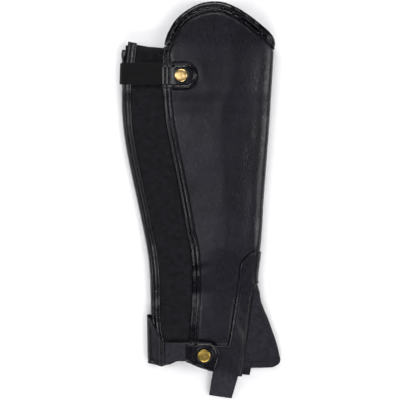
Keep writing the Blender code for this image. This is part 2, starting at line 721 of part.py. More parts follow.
def heel_strap(look):
    """The leather base of the lower strap, wrapped round the heel end of the zip."""
    end_x, *end = HEEL_STRAP_END
    grid = []
    for share in (0, 0.33, 0.67, 1):
        line = [(b, (low + (high - low) * share) * MM) for b, _, low, high in HEEL_STRAP]
        last = (end[0] + (end[1] - end[0]) * share) * MM
        grid.append([(from_back(b * MM, y), y) for b, y in line] + [(round_at(end_x * MM, last), last)])

    def under(a, y):
        return rises(HEEL_STRAP, from_back(a, y))

    def stood_off(a, y, d):
        """The leather stands a little off the heel where it turns round it."""
        turn = math.exp(-(((from_back(a, y) + 0.5 * MM) / (5 * MM)) ** 2))
        return place(a, y, d) - Vector((1.9 * MM * turn, 0, 0))

    return sheet("heel_strap", look, [grid], lambda a, y: under(a, y) + HEEL, under, stood_off)


def low_strap(look):
    """The elastic middle of the lower strap."""
    stations = (
        (-40.5, -192.0, -166.8), (-34, -190.6, -167.0), (-24, -188.2, -167.0), (-16.3, -188.6, -166.6)
    )
    grid = []
    for share in (0, 0.5, 1):
        line = [(x * MM, (low + (high - low) * share) * MM) for x, low, high in stations]
        grid.append([(round_at(x, y), y) for x, y in line])
    return sheet("low_strap", look, [grid], 2.3 * MM + ELASTIC, 2.3 * MM)


# The stirrup's rear and front edges from its head to its fold, in x and y
STIRRUP_REAR = ((18.0, -184.0), (10.8, -228.1))
STIRRUP_FRONT = ((48.0, -194.5), (37.1, -232.1))
# Its way round: share of the way down, and share of the height between the two layers
STIRRUP_WAY = (
    (0.0, 1.0), (0.15, 1.0), (0.3, 0.98), (0.45, 0.88), (0.6, 0.72), (0.75, 0.52), (0.88, 0.33),
    (0.96, 0.2), (0.995, 0.07), (1.0, -0.06), (0.99, -0.2), (0.96, -0.33), (0.9, -0.42), (0.8, -0.445),
    (0.66, -0.445), (0.54, -0.4), (0.44, -0.2), (0.36, -0.04), (0.28, 0.0), (0.05, 0.0),
)
STIRRUP_RISE = 9.0 * MM      # what a negative share of height is counted in


def stirrup(look):
    """The elastic under the boot: a loop from the outer side's lower edge to the inner side's."""
    head_y = STIRRUP_REAR[0][1] * MM
    ceiling = min(place(round_at(x * MM, head_y), head_y, -LEATHER).z for x in (18, 33, 48))
    high = ceiling - UNDER - ELASTIC / 2
    low = place(round_at(33 * MM, head_y, 1), head_y, -LEATHER).z + UNDER + ELASTIC / 2
    way = [(share, low + tall * (high - low if tall > 0 else STIRRUP_RISE)) for share, tall in STIRRUP_WAY]
    length = math.dist(*STIRRUP_REAR) * MM
    line = np.array([(share * length, z) for share, z in way])
    along = np.gradient(line, axis=0)
    along /= np.linalg.norm(along, axis=1)[:, None]
    rings = []
    for (share, z), (down, up) in zip(way, along):
        ring = []
        for edge, side in ((STIRRUP_REAR, 1), (STIRRUP_FRONT, 1), (STIRRUP_FRONT, -1), (STIRRUP_REAR, -1)):
            x, y = blend(*edge, share - side * up * ELASTIC / 2 / length)
            ring.append(Vector((x * MM, y * MM, z + side * down * ELASTIC / 2)))
        rings.append(ring)
    return sweep("stirrup_elastic", look, rings)


def main():
    for old in list(bpy.data.objects):
        bpy.data.objects.remove(old)
    leather = material("black_leather", (0.012, 0.012, 0.016), 0.42)
    trim = material("trim_leather", (0.014, 0.014, 0.018), 0.38)
    knit = material("ribbed_elastic", (0.008, 0.008, 0.010), 0.85)
    webbing = material("elastic_webbing", (0.010, 0.010, 0.011), 0.8)
    tape = material("zip_tape", (0.006, 0.006, 0.007), 0.8)
    coil = material("zip_coil", (0.006, 0.006, 0.007), 0.45)
    brass = material("brass", (0.46, 0.34, 0.13), 0.32, 1.0)
    steel = material("stud_metal", (0.32, 0.26, 0.14), 0.35, 1.0)

    main_panel(leather)
    stretch_panel(knit)
    ridged_strip(
        "front_strip", trim, FRONT_RIDGES, lambda y: panel_seam(y) - STRIP_REACH, [*STRIP_ROWS, 176.8 * MM]
    )
    ridged_strip("back_strip", trim, BACK_RIDGES, strip_edge, [*STRIP_ROWS, 176 * MM, 183.6 * MM], slant=0.2)
    zip_tapes(tape)
    zip_chain(coil)
    zip_slider(coil)
    top_binding(trim)
    ankle_overlay(leather)
    instep_gore(knit)
    top_strap(webbing)
    tab("top_tab", trim, round_tab(), TAB_RISE, ridge_end=-33.8)
    heel_strap(leather)
    low_strap(webbing)
    tab("lower_tab", trim, LOW_TAB, LOW_TAB_RISE, ridge_end=-11.0)
    press_stud("top", TOP_SNAP, brass, steel)
    press_stud("lower", LOW_SNAP, brass, steel)
    stirrup(webbing)


main()
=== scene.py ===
"""Half chap (riding gaiter), zipped shut and laid flat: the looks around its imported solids.

The gaiter is a flattened tube. Every piece is worked out in pattern space, where a is the
distance round the tube from its front fold (plus on the outer side, minus underneath)
and y runs up the leg, and is then laid on the tube at a height d above the cloth's face.
"""

import math
from functools import cache

import bmesh
import bpy
import numpy as np
from bpy.props import FloatProperty, IntProperty, PointerProperty
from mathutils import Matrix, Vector


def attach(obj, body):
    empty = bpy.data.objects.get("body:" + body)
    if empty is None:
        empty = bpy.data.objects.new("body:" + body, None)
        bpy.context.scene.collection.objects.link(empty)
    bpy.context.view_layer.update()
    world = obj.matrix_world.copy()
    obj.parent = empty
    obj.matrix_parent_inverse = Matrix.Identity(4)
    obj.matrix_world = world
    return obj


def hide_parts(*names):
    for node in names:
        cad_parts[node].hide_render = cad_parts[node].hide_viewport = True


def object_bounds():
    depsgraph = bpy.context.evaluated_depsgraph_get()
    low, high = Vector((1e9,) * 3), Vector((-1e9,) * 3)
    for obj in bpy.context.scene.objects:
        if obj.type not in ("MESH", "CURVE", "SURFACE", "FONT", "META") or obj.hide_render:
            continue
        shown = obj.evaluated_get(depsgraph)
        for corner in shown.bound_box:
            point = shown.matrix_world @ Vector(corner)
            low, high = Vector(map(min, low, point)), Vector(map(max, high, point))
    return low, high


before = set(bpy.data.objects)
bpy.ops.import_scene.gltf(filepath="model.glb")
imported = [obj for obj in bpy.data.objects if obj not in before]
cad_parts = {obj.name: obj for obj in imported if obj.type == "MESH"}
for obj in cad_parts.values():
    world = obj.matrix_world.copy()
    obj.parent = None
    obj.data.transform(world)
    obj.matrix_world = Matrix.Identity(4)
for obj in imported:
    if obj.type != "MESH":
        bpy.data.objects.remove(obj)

bl_info = {
    "name": "Half Chap",
    "version": (1, 0, 0),
    "blender": (4, 5, 0),
    "location": "3D View > Sidebar > Half Chap",
    "description": "Dresses a packed half chap in leather, elastic, zip, stitching and press studs",
    "category": "Object",
}

MM = 0.001
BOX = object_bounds()            # the solids' box, before anything is added

# Cloth and the room it needs, as in the solids
LEATHER = 1.8 * MM
OVERLAY = 1.2 * MM
HEEL = 1.5 * MM
ELASTIC = 1.4 * MM
TAPE = 0.9 * MM
GAP = 0.3 * MM
UNDER = 0.35 * MM            # room under a piece that lies on another
ROUND = 0.58                 # a fold's depth over its height

LOW_ROW = -170 * MM          # rows of the panels are level from here
HIGH_ROW = 130 * MM          # up to here, and then fan out to the top curve
NOTCH_TOP = -97 * MM         # head of the slit for the instep gore
GORE_HEM = -182.6 * MM
GORE_GAP = 0.4 * MM
OVERLAY_STEP = -170.5 * MM   # below this the overlay reaches back to the heel
OVERLAY_HEEL_X = 8 * MM
OVERLAY_GAP = 0.6 * MM       # from the overlay to the edge of the slit
CHAIN_HALF = 2.1 * MM
STRIP_COVER = 4.0 * MM
TAPE_SHOWN = 4.0 * MM
STRIP_REACH = 4.4 * MM
SEWN_IN = 2.9                # stitches from the edge that they hold, in millimetres
NARROWEST_CUT = 10 * MM      # a sheet's flat width is never taken as narrower

# How fine the cloth is laid
PANEL_STEP = 1.5 * MM
RIB_STEP = 0.48 * MM
TRIM_STEP = 0.8 * MM


def colour(code):
    """An sRGB hex colour as the linear values that Blender works in."""
    parts = [int(code[k : k + 2], 16) / 255 for k in (1, 3, 5)]
    return tuple(v / 12.92 if v <= 0.04045 else ((v + 0.055) / 1.055) ** 2.4 for v in parts)


# ------------------------------------------------------------------ the flattened tube


def curve(keys, values):
    """A smooth rule through a table's rows that never overshoots them."""
    keys, values = np.array(keys, float), np.array(values, float)
    steps = np.diff(keys)
    slopes = np.diff(values) / steps
    before, after = slopes[:-1], slopes[1:]
    same_way = before * after > 0
    middle = np.where(same_way, 2 * before * after / np.where(same_way, before + after, 1), 0)
    tangents = np.concatenate([[slopes[0]], middle, [slopes[-1]]])

    def at(where):
        where = np.clip(where, keys[0], keys[-1])
        i = np.clip(np.searchsorted(keys, where) - 1, 0, len(keys) - 2)
        t, h = (where - keys[i]) / steps[i], steps[i]
        return (
            (2 * t**3 - 3 * t**2 + 1) * values[i] + (t**3 - 2 * t**2 + t) * h * tangents[i]
            + (3 * t**2 - 2 * t**3) * values[i + 1] + (t**3 - t**2) * h * tangents[i + 1]
        )

    return at


def run_of(line):
    """Distance along a line of points, at each of them."""
    return np.concatenate([[0], np.cumsum(np.linalg.norm(np.diff(line, axis=0), axis=1))])


def smoothed(rows, count):
    """A short table's columns, read smoothly at evenly spaced places."""
    rows = np.array(rows)
    at = np.linspace(0, len(rows) - 1, count)
    return np.column_stack([curve(range(len(rows)), column)(at) for column in rows.T])


def table(columns, rows):
    """A table in millimetres as one smooth rule for each column, read by the first one."""
    data = np.array(sorted(rows), float) * MM
    rules = {name: curve(data[:, 0], data[:, k]) for k, name in enumerate(columns)}
    rules["keys"] = data[:, 0]
    return rules


TUBE = table(
    ("y", "back_x", "front_x", "front_height", "back_height", "crown", "lift"),
    [
        (235, -89.5, 86.3, 13.5, 9.0, 2.5, 2.1), (200, -89.5, 86.3, 18.0, 9.5, 3.5, 2.1),
        (178, -89.5, 86.3, 20.0, 10.5, 4.0, 2.1), (150, -90.7, 85.0, 20.5, 10.5, 4.5, 2.1),
        (131, -91.2, 83.8, 20.5, 10.5, 4.5, 2.1), (112, -91.4, 82.7, 20.5, 10.0, 4.5, 0.9),
        (94, -90.5, 81.6, 20.5, 10.0, 4.5, 0.0), (60, -86.0, 79.2, 20.5, 10.0, 4.0, 0.0),
        (30, -80.0, 76.9, 20.0, 10.0, 3.5, 0.0), (0, -73.4, 74.6, 19.5, 10.0, 3.0, 0.0),
        (-20, -69.1, 73.5, 19.0, 10.0, 3.0, 0.0), (-42, -64.6, 72.1, 18.5, 10.0, 2.5, 1.2),
        (-56, -61.9, 70.7, 18.0, 10.0, 2.5, 1.9), (-64, -60.7, 70.0, 17.5, 10.0, 2.5, 1.9),
        (-76, -59.3, 68.3, 16.5, 10.0, 2.5, 1.9), (-92, -58.3, 66.7, 15.0, 10.0, 2.5, 1.9),
        (-101, -58.1, 68.0, 14.0, 10.0, 2.5, 1.9), (-108, -57.9, 70.0, 13.0, 10.0, 2.5, 1.9),
        (-116, -57.6, 71.0, 12.5, 10.0, 3.0, 1.9), (-127, -57.5, 74.6, 12.0, 10.5, 3.5, 1.9),
        (-137, -57.4, 79.0, 11.5, 10.5, 4.0, 2.0), (-150, -57.3, 83.8, 11.0, 10.5, 4.5, 2.0),
        (-172, -57.0, 91.0, 10.5, 10.5, 4.5, 2.0), (-188, -56.7, 93.9, 10.0, 10.5, 4.5, 2.0),
        (-215, -56.5, 92.4, 10.0, 10.5, 4.5, 2.0),
    ],
)
SEAMS = table(
    ("y", "panel", "strip", "zip"),
    [
        (186, -41.0, -83.8, 2.6), (165, -39.8, -86.0, 2.4), (150, -39.4, -88.0, 1.0),
        (135, -39.5, -90.0, -0.4), (115, -38.6, -90.3, -1.0), (90, -35.7, -89.0, -1.0),
        (60, -30.1, -84.8, -1.0), (30, -24.2, -78.9, -1.0), (0, -18.3, -72.3, -1.0),
        (-30, -12.7, -65.9, -1.0), (-60, -6.8, -60.2, -1.0), (-90, -4.8, -57.1, -1.0),
        (-120, -5.3, -56.4, -1.0), (-140, -6.7, -56.0, -1.0), (-155, -7.8, -54.8, -0.4),
        (-170, -8.6, -51.8, 0.6), (-200, -9.8, -49.4, 1.2),
    ],
)
NOTCH = table(
    ("y", "outer", "inner"),
    [
        (-97, 67.0, 67.0), (-101, 65.6, 66.2), (-106, 63.5, 65.2), (-120, 60.6, 63.6),
        (-150, 56.8, 61.4), (-180, 52.5, 59.6), (-215, 47.6, 57.6),
    ],
)
OVERLAY_EDGE = table(
    ("y", "x"),
    [
        (-60.3, 61.6), (-62.5, 58.8), (-65.4, 55.9), (-69.5, 51.8), (-74.2, 48.8), (-80, 47.3),
        (-94, 45.9), (-115, 42.8), (-141, 38.7), (-164, 35.0), (-170.5, 33.8), (-215, 31.0),
    ],
)
TOP_CURVE = table(
    ("x", "y"),
    [
        (-40.6, 177.4), (-39.2, 186.0), (-34.6, 197.6), (-27.6, 208.8), (-18.4, 217.6),
        (-9.2, 223.6), (0.4, 228.0), (9.4, 230.1), (18.4, 230.7), (27.8, 229.4), (35.0, 227.0),
        (46.4, 221.4), (58.0, 213.8), (69.6, 204.6), (78.0, 197.4), (83.6, 191.6),
    ],
)
TOP_AT_FOLD = 184.6 * MM
TOP_UNDER = table(("round", "y"), [(-175, 173.0), (-60, 175.0), (-14, 181.0), (0, 184.6)])
FOOT_OUTER = table(
    ("x", "y"),
    [
        (-60, -191.5), (-50, -194.0), (-37, -192.6), (-25, -188.6), (-15, -188.6), (-6, -191.0),
        (5, -193.0), (18, -193.8), (29, -197.0), (37, -199.4), (44, -202.6), (48.3, -206.0),
        (60, -207.0),
    ],
)
FOOT_INNER = table(
    ("x", "y"),
    [
        (-60, -187.5), (-35, -186.5), (-10, -186.5), (15, -189.5), (38, -198.0), (50, -204.0),
        (60, -205.5),
    ],
)
GORE_FOOT = table(
    ("round", "y"),
    [
        (-60, -196.0), (-12, -195.6), (-5, -192.4), (0, -188.6), (5, -192.4), (12, -195.8),
        (30, -196.4), (60, -195.4),
    ],
)


def section(y):
    """The tube's cross-section at y, over the outer side and then along the underside.

    Each half is a line of rows (distance, x, z, normal x, normal z), front fold to back fold.
    """
    back, front, high, low, crown, lift = (
        float(TUBE[column](y))
        for column in ("back_x", "front_x", "front_height", "back_height", "crown", "lift")
    )
    turn = np.linspace(0, math.pi / 2, 25)
    span = np.linspace(0, 1, 161)[1:-1]
    x_front, x_back = front - ROUND * high, back + ROUND * low
    x_span = x_front + (x_back - x_front) * span
    ease = 3 * span**2 - 2 * span**3
    over = lift + high + (low - high) * ease + crown * np.sin(math.pi * span) ** 2
    halves = []

    def fold(x, wide, tall, turn):
        return [x + wide * np.cos(turn), lift + tall / 2 * (1 + side * np.sin(turn))]

    for side, z_span in ((1, over), (-1, np.full(len(span), lift))):
        front_fold = fold(x_front, ROUND * high, high, turn)
        back_fold = fold(x_back, -ROUND * low, low, turn[::-1])
        points = np.hstack([front_fold, [x_span, z_span], back_fold]).T
        along = np.gradient(points, axis=0)
        along /= np.linalg.norm(along, axis=1)[:, None]
        normals = np.column_stack([along[:, 1], -along[:, 0]]) * side
        normals[0], normals[-1] = (1, 0), (-1, 0)
        halves.append(np.column_stack([run_of(points), points, normals]))
    return halves


LEVELS = np.arange(-240, 240.5, 0.5) * MM
SHARES = np.linspace(0, 1, 901)


def charted():
    """The tube as even charts, one a side: girth at each level, and (x, z, normal) there."""
    girths, charts = np.empty((2, len(LEVELS))), np.empty((2, len(LEVELS), len(SHARES), 4))
    for i, y in enumerate(LEVELS):
        for side, half in enumerate(section(y)):
            girths[side, i] = half[-1, 0]
            for k in range(4):
                charts[side, i, :, k] = np.interp(SHARES * half[-1, 0], half[:, 0], half[:, k + 1])
    return girths, charts


GIRTHS, CHARTS = charted()


def girth(y, side=0):
    """Distance from the front fold to the back fold, over the outer side or underneath."""
    return np.interp(y, LEVELS, GIRTHS[side])


def on_chart(side, distance, y):
    """(x, z, normal x, normal z) of the smooth tube at arrays of distance and y."""
    at = np.clip((y - LEVELS[0]) / (LEVELS[1] - LEVELS[0]), 0, len(LEVELS) - 1.001)
    row = at.astype(int)
    found = 0
    for i, share in ((row, row + 1 - at), (row + 1, at - row)):
        place = np.clip(distance / GIRTHS[side, i], 0, 0.99999) * (len(SHARES) - 1)
        k = place.astype(int)
        part = (place - k)[:, None]
        between_two = CHARTS[side, i, k] * (1 - part) + CHARTS[side, i, k + 1] * part
        found = found + share[:, None] * between_two
    return found


def rounds(x, y, side=0):
    """Distance round of points at x on the outer side, or underneath, where it is minus."""
    x, y = np.broadcast_arrays(np.asarray(x, float), np.asarray(y, float))
    wanted = x.ravel()
    low, high = np.zeros(x.size), girth(y.ravel(), side)
    for _ in range(26):
        middle = (low + high) / 2
        ahead = on_chart(side, middle, y.ravel())[:, 0] > wanted
        low, high = np.where(ahead, middle, low), np.where(ahead, high, middle)
    return (low if side == 0 else -low).reshape(x.shape)


def round_at(x, y, side=0):
    return float(rounds(x, y, side))


def x_at(a, y):
    """x of the points at distance a round."""
    a, y = np.atleast_1d(a), np.atleast_1d(y)
    return np.where(a >= 0, on_chart(0, abs(a), y)[:, 0], on_chart(1, abs(a), y)[:, 0])


def panel_seam(y):
    """Seam of the main panel and the stretch panel."""
    return rounds(SEAMS["panel"](y), y)


def strip_edge(y):
    """Rear edge of the back strip."""
    return rounds(SEAMS["strip"](y), y)


def from_back(b, y):
    """Distance round of the point b from the back fold, plus on the outer side."""
    return girth(y) - b


def zip_line(y):
    """Middle of the zip's chain."""
    return girth(y) - SEAMS["zip"](y)


def inner_edge(y):
    """Where the main panel ends at the zip, counted backwards underneath."""
    return zip_line(y) + CHAIN_HALF + GAP + TAPE_SHOWN + GAP - girth(y) - girth(y, 1)


def slit(y, side, margin=0.0):
    """Edge of the gore's slit, drawn back by a margin, or the front fold above the slit."""
    if y >= NOTCH_TOP:
        return 0.0
    edge = round_at(NOTCH["outer" if side == 0 else "inner"](y), y, side)
    return edge + math.copysign(min(margin, abs(edge) / 3), edge)


def foot_line(rule, line):
    """y of a lower edge straight below each (a, y) point."""
    a, y = np.transpose(line)
    return rule["y"](x_at(a, y))


# ------------------------------------------------------------------ creases in the cloth

CREASE_SEED, LATTICE_SIZE = 23, 64
LATTICE = np.random.default_rng(CREASE_SEED).uniform(-1, 1, (LATTICE_SIZE, LATTICE_SIZE))


def ripple(u, v):
    """Smooth noise from -1 to 1, with about one bump to each unit."""
    iu, iv = np.floor(u).astype(int), np.floor(v).astype(int)
    fu, fv = (t**3 * (t * (6 * t - 15) + 10) for t in (u - iu, v - iv))

    def corner(i, j):
        return LATTICE[(iu + i) % LATTICE_SIZE, (iv + j) % LATTICE_SIZE]

    low = corner(0, 0) * (1 - fu) + corner(1, 0) * fu
    high = corner(0, 1) * (1 - fu) + corner(1, 1) * fu
    return low * (1 - fv) + high * fv


def step(low, high, at):
    """0 below low and 1 above high, easing between them."""
    t = np.clip((at - low) / (high - low), 0, 1)
    return t * t * (3 - 2 * t)


def bump_at(at, middle, wide):
    """1 at the middle, falling off to both sides."""
    return np.exp(-(((at - middle) / wide) ** 2))


def outer_top_line():
    """The raised curve as dense (a, y) points, from the front fold back to the seam."""
    x = np.linspace(TOP_CURVE["keys"][0], TOP_CURVE["keys"][-1], 240)
    y = TOP_CURVE["y"](x)
    a = rounds(x, y)
    a[0] = panel_seam(y[0])
    return np.vstack([(0.0, TOP_AT_FOLD), np.column_stack([a, y])[::-1]])


def inner_top_line():
    """The top edge underneath as dense (a, y) points, from the front fold back to the zip."""
    low = float(TOP_UNDER["y"](-1))
    inside = np.linspace(0, float(inner_edge(low)), 160)
    return np.column_stack([inside, [*TOP_UNDER["y"](inside[:-1]), low]])


TOP_OUTER, TOP_INNER = outer_top_line(), inner_top_line()


def creases(a, y):
    """How far the worn cloth stands proud of the smooth tube, on its outer side."""
    below_top = np.interp(a, TOP_OUTER[:, 0], TOP_OUTER[:, 1]) - y
    front, gathered = step(30 * MM, 60 * MM, a), np.exp(-np.clip(below_top, 0, 1) / (28 * MM))
    worn = 0.55 * ripple(a / (27 * MM) + 0.5, y / (75 * MM))
    worn = worn + 0.16 * ripple(a / (9 * MM) + 9, y / (26 * MM))
    pleats = 0.4 * gathered * ripple(a / (5.5 * MM), y / (34 * MM) + 5)
    ankle = 0.4 * bump_at(y, -92 * MM, 46 * MM) * front
    folds = ankle * ripple((y + 0.3 * a) / (8.5 * MM) + 3, (a - 0.2 * y) / (30 * MM))
    flat_at_folds = step(2 * MM, 16 * MM, a) * step(2 * MM, 16 * MM, girth(y) - a)
    shin = 1.1 * bump_at(a, 52 * MM, 20 * MM) - 0.8 * bump_at(a, 15 * MM, 10 * MM)
    shin = shin * step(-130 * MM, -60 * MM, y)
    full = 0.9 * np.sin(math.pi * np.clip(a / girth(y), 0, 1)) ** 2
    return (worn + pleats + folds + shin + full) * flat_at_folds * MM


def lay(a, y, d):
    """Points at distance round a and height up the leg y, raised by d above the cloth."""
    a, y, d = np.broadcast_arrays(*(np.asarray(each, float) for each in (a, y, d)))
    shape = a.shape
    a, y, d = a.ravel(), y.ravel(), d.ravel()
    over, under = girth(y), girth(y, 1)
    a = np.where(a > over, a - over - under, np.where(a < -under, a + over + under, a))
    outer = a >= 0
    found = np.where(outer[:, None], on_chart(0, abs(a), y), on_chart(1, abs(a), y))
    d = d + np.where(outer, creases(abs(a), y), 0)
    size = np.hypot(found[:, 2], found[:, 3])
    x, z = (found[:, k] + d * found[:, k + 2] / size for k in (0, 1))
    return np.column_stack([x, y, z]).reshape(*shape, 3)


# ------------------------------------------------------------------ making pieces


def cells(grid):
    """The four corners of every cell of a grid, in turn."""
    return grid[:-1, :-1], grid[:-1, 1:], grid[1:, 1:], grid[1:, :-1]


def cloth(name, look, grids, soft=0.0):
    """A closed piece from grids of (uv, top, bottom), joined where two share an edge."""
    uvs, tops, bottoms = (
        np.concatenate([g[k].reshape(-1, g[k].shape[-1]) for g in grids]) for k in range(3)
    )
    _, first, index = np.unique(np.round(uvs, 6), axis=0, return_index=True, return_inverse=True)
    index, quads, start = index.ravel(), [], 0
    for uv, _, _ in grids:
        at = index[start : start + uv[..., 0].size].reshape(uv.shape[:2])
        start += at.size
        quads.append(np.stack(cells(at), -1).reshape(-1, 4))
    quads = np.concatenate(quads)
    kept = quads != np.roll(quads, -1, axis=1)
    corners = kept.sum(1)
    whole, cut = corners == 4, corners == 3
    faces = quads[whole].tolist() + [q[k].tolist() for q, k in zip(quads[cut], kept[cut])]
    solid = (corners > 2)[:, None] & kept
    p, q = quads[solid], np.roll(quads, -1, axis=1)[solid]
    count = len(first)
    edges = np.minimum(p, q) * count + np.maximum(p, q)
    _, where, used = np.unique(edges, return_index=True, return_counts=True)
    rim = where[used == 1]
    sides = np.column_stack([q[rim], p[rim], p[rim] + count, q[rim] + count]).tolist()
    under = [[v + count for v in reversed(ring)] for ring in faces]
    mesh = bpy.data.meshes.new(name)
    mesh.from_pydata(np.vstack([tops[first], bottoms[first]]).tolist(), [], faces + under + sides)
    unwrap(mesh, np.vstack([uvs[first]] * 2))
    return finished(name, mesh, look, soft)


def linked(name, data):
    """A new object of a mesh, light or camera, in the scene."""
    made = bpy.data.objects.new(name, data)
    bpy.context.scene.collection.objects.link(made)
    return made


def unwrap(mesh, uvs):
    """Gives a mesh the UV map in which a metre of cloth is one unit."""
    corners = np.empty(len(mesh.loops), np.int32)
    mesh.loops.foreach_get("vertex_index", corners)
    mesh.uv_layers.new(name="UVMap").data.foreach_set("uv", uvs[corners].astype(np.float32).ravel())


def finished(name, mesh, look, soft=0.0, sharp=50):
    """The object of a mesh, smooth, facing outwards, with its hard edges softened."""
    bm = bmesh.new()
    bm.from_mesh(mesh)
    bmesh.ops.recalc_face_normals(bm, faces=bm.faces)
    bm.to_mesh(mesh)
    bm.free()
    mesh.shade_smooth()
    mesh.set_sharp_from_angle(angle=math.radians(sharp))
    mesh.materials.append(look)
    made = linked(name, mesh)
    if soft:
        bevel = made.modifiers.new("Softened edges", "BEVEL")
        bevel.width, bevel.segments = soft, 2
        bevel.limit_method, bevel.angle_limit = "ANGLE", math.radians(55)
    return made


def sheet_of(grid, top, bottom):
    """A grid of (a, y) points as (uv, top, bottom), laid on the tube."""
    a, y = grid[..., 0], grid[..., 1]
    return grid, lay(a, y, top), lay(a, y, bottom)


def dress(piece, slot, *nodes):
    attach(piece, "root")
    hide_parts(*nodes)
    return piece


def cut_from(piece, *grids, rests_on=(), straight=False):
    """Works out the cut of a sheet of cloth from its pattern space, and does nothing more with it.

    A strip or tape is cut straight, whatever line it is sewn along, and what shows of it
    can be narrower than it was cut, its edges being turned or sewn under.
    """
    area = 0.0
    for grid in grids:
        p, q, r, s = cells(grid)
        u, v = r - p, s - q
        area += np.abs(u[..., 0] * v[..., 1] - u[..., 1] * v[..., 0]).sum() / 2
    points = np.concatenate([grid.reshape(-1, 2) for grid in grids])
    width, length = np.ptp(points, axis=0)
    if straight:
        width = max(area / length, NARROWEST_CUT)


def resample(line, shares):
    """Points at shares of the way along a line of points."""
    line = np.array(line, float)
    run = run_of(line)
    return np.column_stack([np.interp(shares * run[-1], run, column) for column in line.T])


def between(first, last, count):
    """Evenly spaced lines of points, from one line to another."""
    return np.array([first + (last - first) * t for t in np.linspace(0, 1, count)])


def ruled(a, rows):
    """A grid of (a, y) points whose rows are level."""
    return np.stack([a, np.broadcast_to(rows[:, None], a.shape)], -1)


def level(a, y):
    """A line of (a, y) points, all at one y."""
    return np.column_stack([a, np.full(len(a), y)])


def eased(count):
    """Shares from 0 to 1, closer together at both ends."""
    return (1 - np.cos(np.linspace(0, math.pi, count))) / 2


def from_edge(grid, line):
    """Distance of each grid point from a dense line of points."""
    points = grid.reshape(-1, 2)
    near = np.full(len(points), 1.0)
    for k in range(0, len(points), 4000):
        gaps = points[k : k + 4000, None, :] - line[None]
        near[k : k + 4000] = np.sqrt((gaps**2).sum(-1)).min(1)
    return near.reshape(grid.shape[:2])


def turned_edge(s, dip=0.42 * MM):
    """Rise of a turned, stitched leather edge at distance s from it."""
    rounded = -0.55 * MM * np.exp(-((s / (0.55 * MM)) ** 2))
    rolled = 0.34 * MM * bump_at(s, 1.4 * MM, 0.75 * MM)
    return rounded + rolled - dip * bump_at(s, SEWN_IN * MM, 0.5 * MM)


# ------------------------------------------------------------------ node trees


def add(tree, kind, inputs=None, **fields):
    """Adds a node, sets its fields, and gives each input a value or links it to a socket."""
    node = tree.nodes.new(kind)
    for field, value in fields.items():
        setattr(node, field, value)
    for key, value in (inputs or {}).items():
        if isinstance(value, bpy.types.NodeSocket):
            tree.links.new(value, node.inputs[key])
        else:
            node.inputs[key].default_value = value
    return node


def material(name, **constants):
    """A new Principled material and its tree and shader, with its constant sockets set."""
    look = bpy.data.materials.new(name)
    look.use_nodes = True
    shader = look.node_tree.nodes["Principled BSDF"]
    for socket, value in constants.items():
        shader.inputs[socket.replace("_", " ")].default_value = value
    return look, look.node_tree, shader


def finish(tree, shader, tone, dull=None, bumps=()):
    """Links a look's patterns to its shader.

    tone is a pattern with the hex colours at its 0 and its 1, dull is a pattern that is a
    roughness, and bumps pair each height with its rise, the broadest first.
    """
    share, first, second = tone
    ends = {0: share, 6: (*colour(first), 1), 7: (*colour(second), 1)}
    mixed = add(tree, "ShaderNodeMix", ends, data_type="RGBA").outputs[2]
    tree.links.new(mixed, shader.inputs["Base Color"])
    if dull is not None:
        tree.links.new(dull, shader.inputs["Roughness"])
    under = {}
    for height, rise in bumps:
        given = {"Height": height, "Distance": rise, "Strength": 1.0, **under}
        under = {"Normal": add(tree, "ShaderNodeBump", given).outputs["Normal"]}
    for key, socket in under.items():
        tree.links.new(socket, shader.inputs[key])


def leather_look(name, light, dark, grain, crease, roughness, index=1.33):
    """Corrected-grain cowhide, drum-dyed black and lightly waxed.

    The eye gets soft, broad highlights, a fine pebble that breaks them up, and slightly
    greyer, duller patches where it has been handled. Real pebbles are 0.5 mm wide, and
    these are drawn wider so that they show.
    """
    look, tree, shader = material(name, IOR=index, Coat_Weight=0.1, Coat_Roughness=0.22)
    where = add(tree, "ShaderNodeTexCoord").outputs["Object"]
    drawn = add(tree, "ShaderNodeMapping", {"Vector": where, "Scale": (1.0, 0.34, 1.0)}).outputs[0]
    patches, fine, pores = (
        add(tree, "ShaderNodeTexNoise", {"Vector": at, "Scale": 1 / (wide * MM), "Detail": detail})
        for at, wide, detail in ((where, 38, 5.0), (drawn, 1.9, 2.0), (where, 0.9, 2.0))
    )
    fine = fine.outputs["Fac"]
    handled = {0: patches.outputs["Fac"], 1: 0.35, 2: 0.68}
    handled = add(tree, "ShaderNodeMapRange", handled).outputs[0]
    dull = {0: fine, 1: 0.3, 2: 0.7, 3: roughness - 0.07, 4: roughness + 0.09}
    dull = add(tree, "ShaderNodeMapRange", dull).outputs[0]
    pebbles = {"Vector": where, "Scale": 1 / grain}
    pebbles = add(tree, "ShaderNodeTexVoronoi", pebbles, feature="SMOOTH_F1").outputs["Distance"]
    pebbles = add(tree, "ShaderNodeMapRange", {0: pebbles, 3: 1, 4: 0}).outputs[0]
    heights = [(fine, crease), (pebbles, 0.1 * MM), (pores.outputs["Fac"], 0.03 * MM)]
    finish(tree, shader, (handled, dark, light), dull, heights)
    return look


# Scale of the wave texture for bands that are one unit apart
WAVE = math.pi / 10


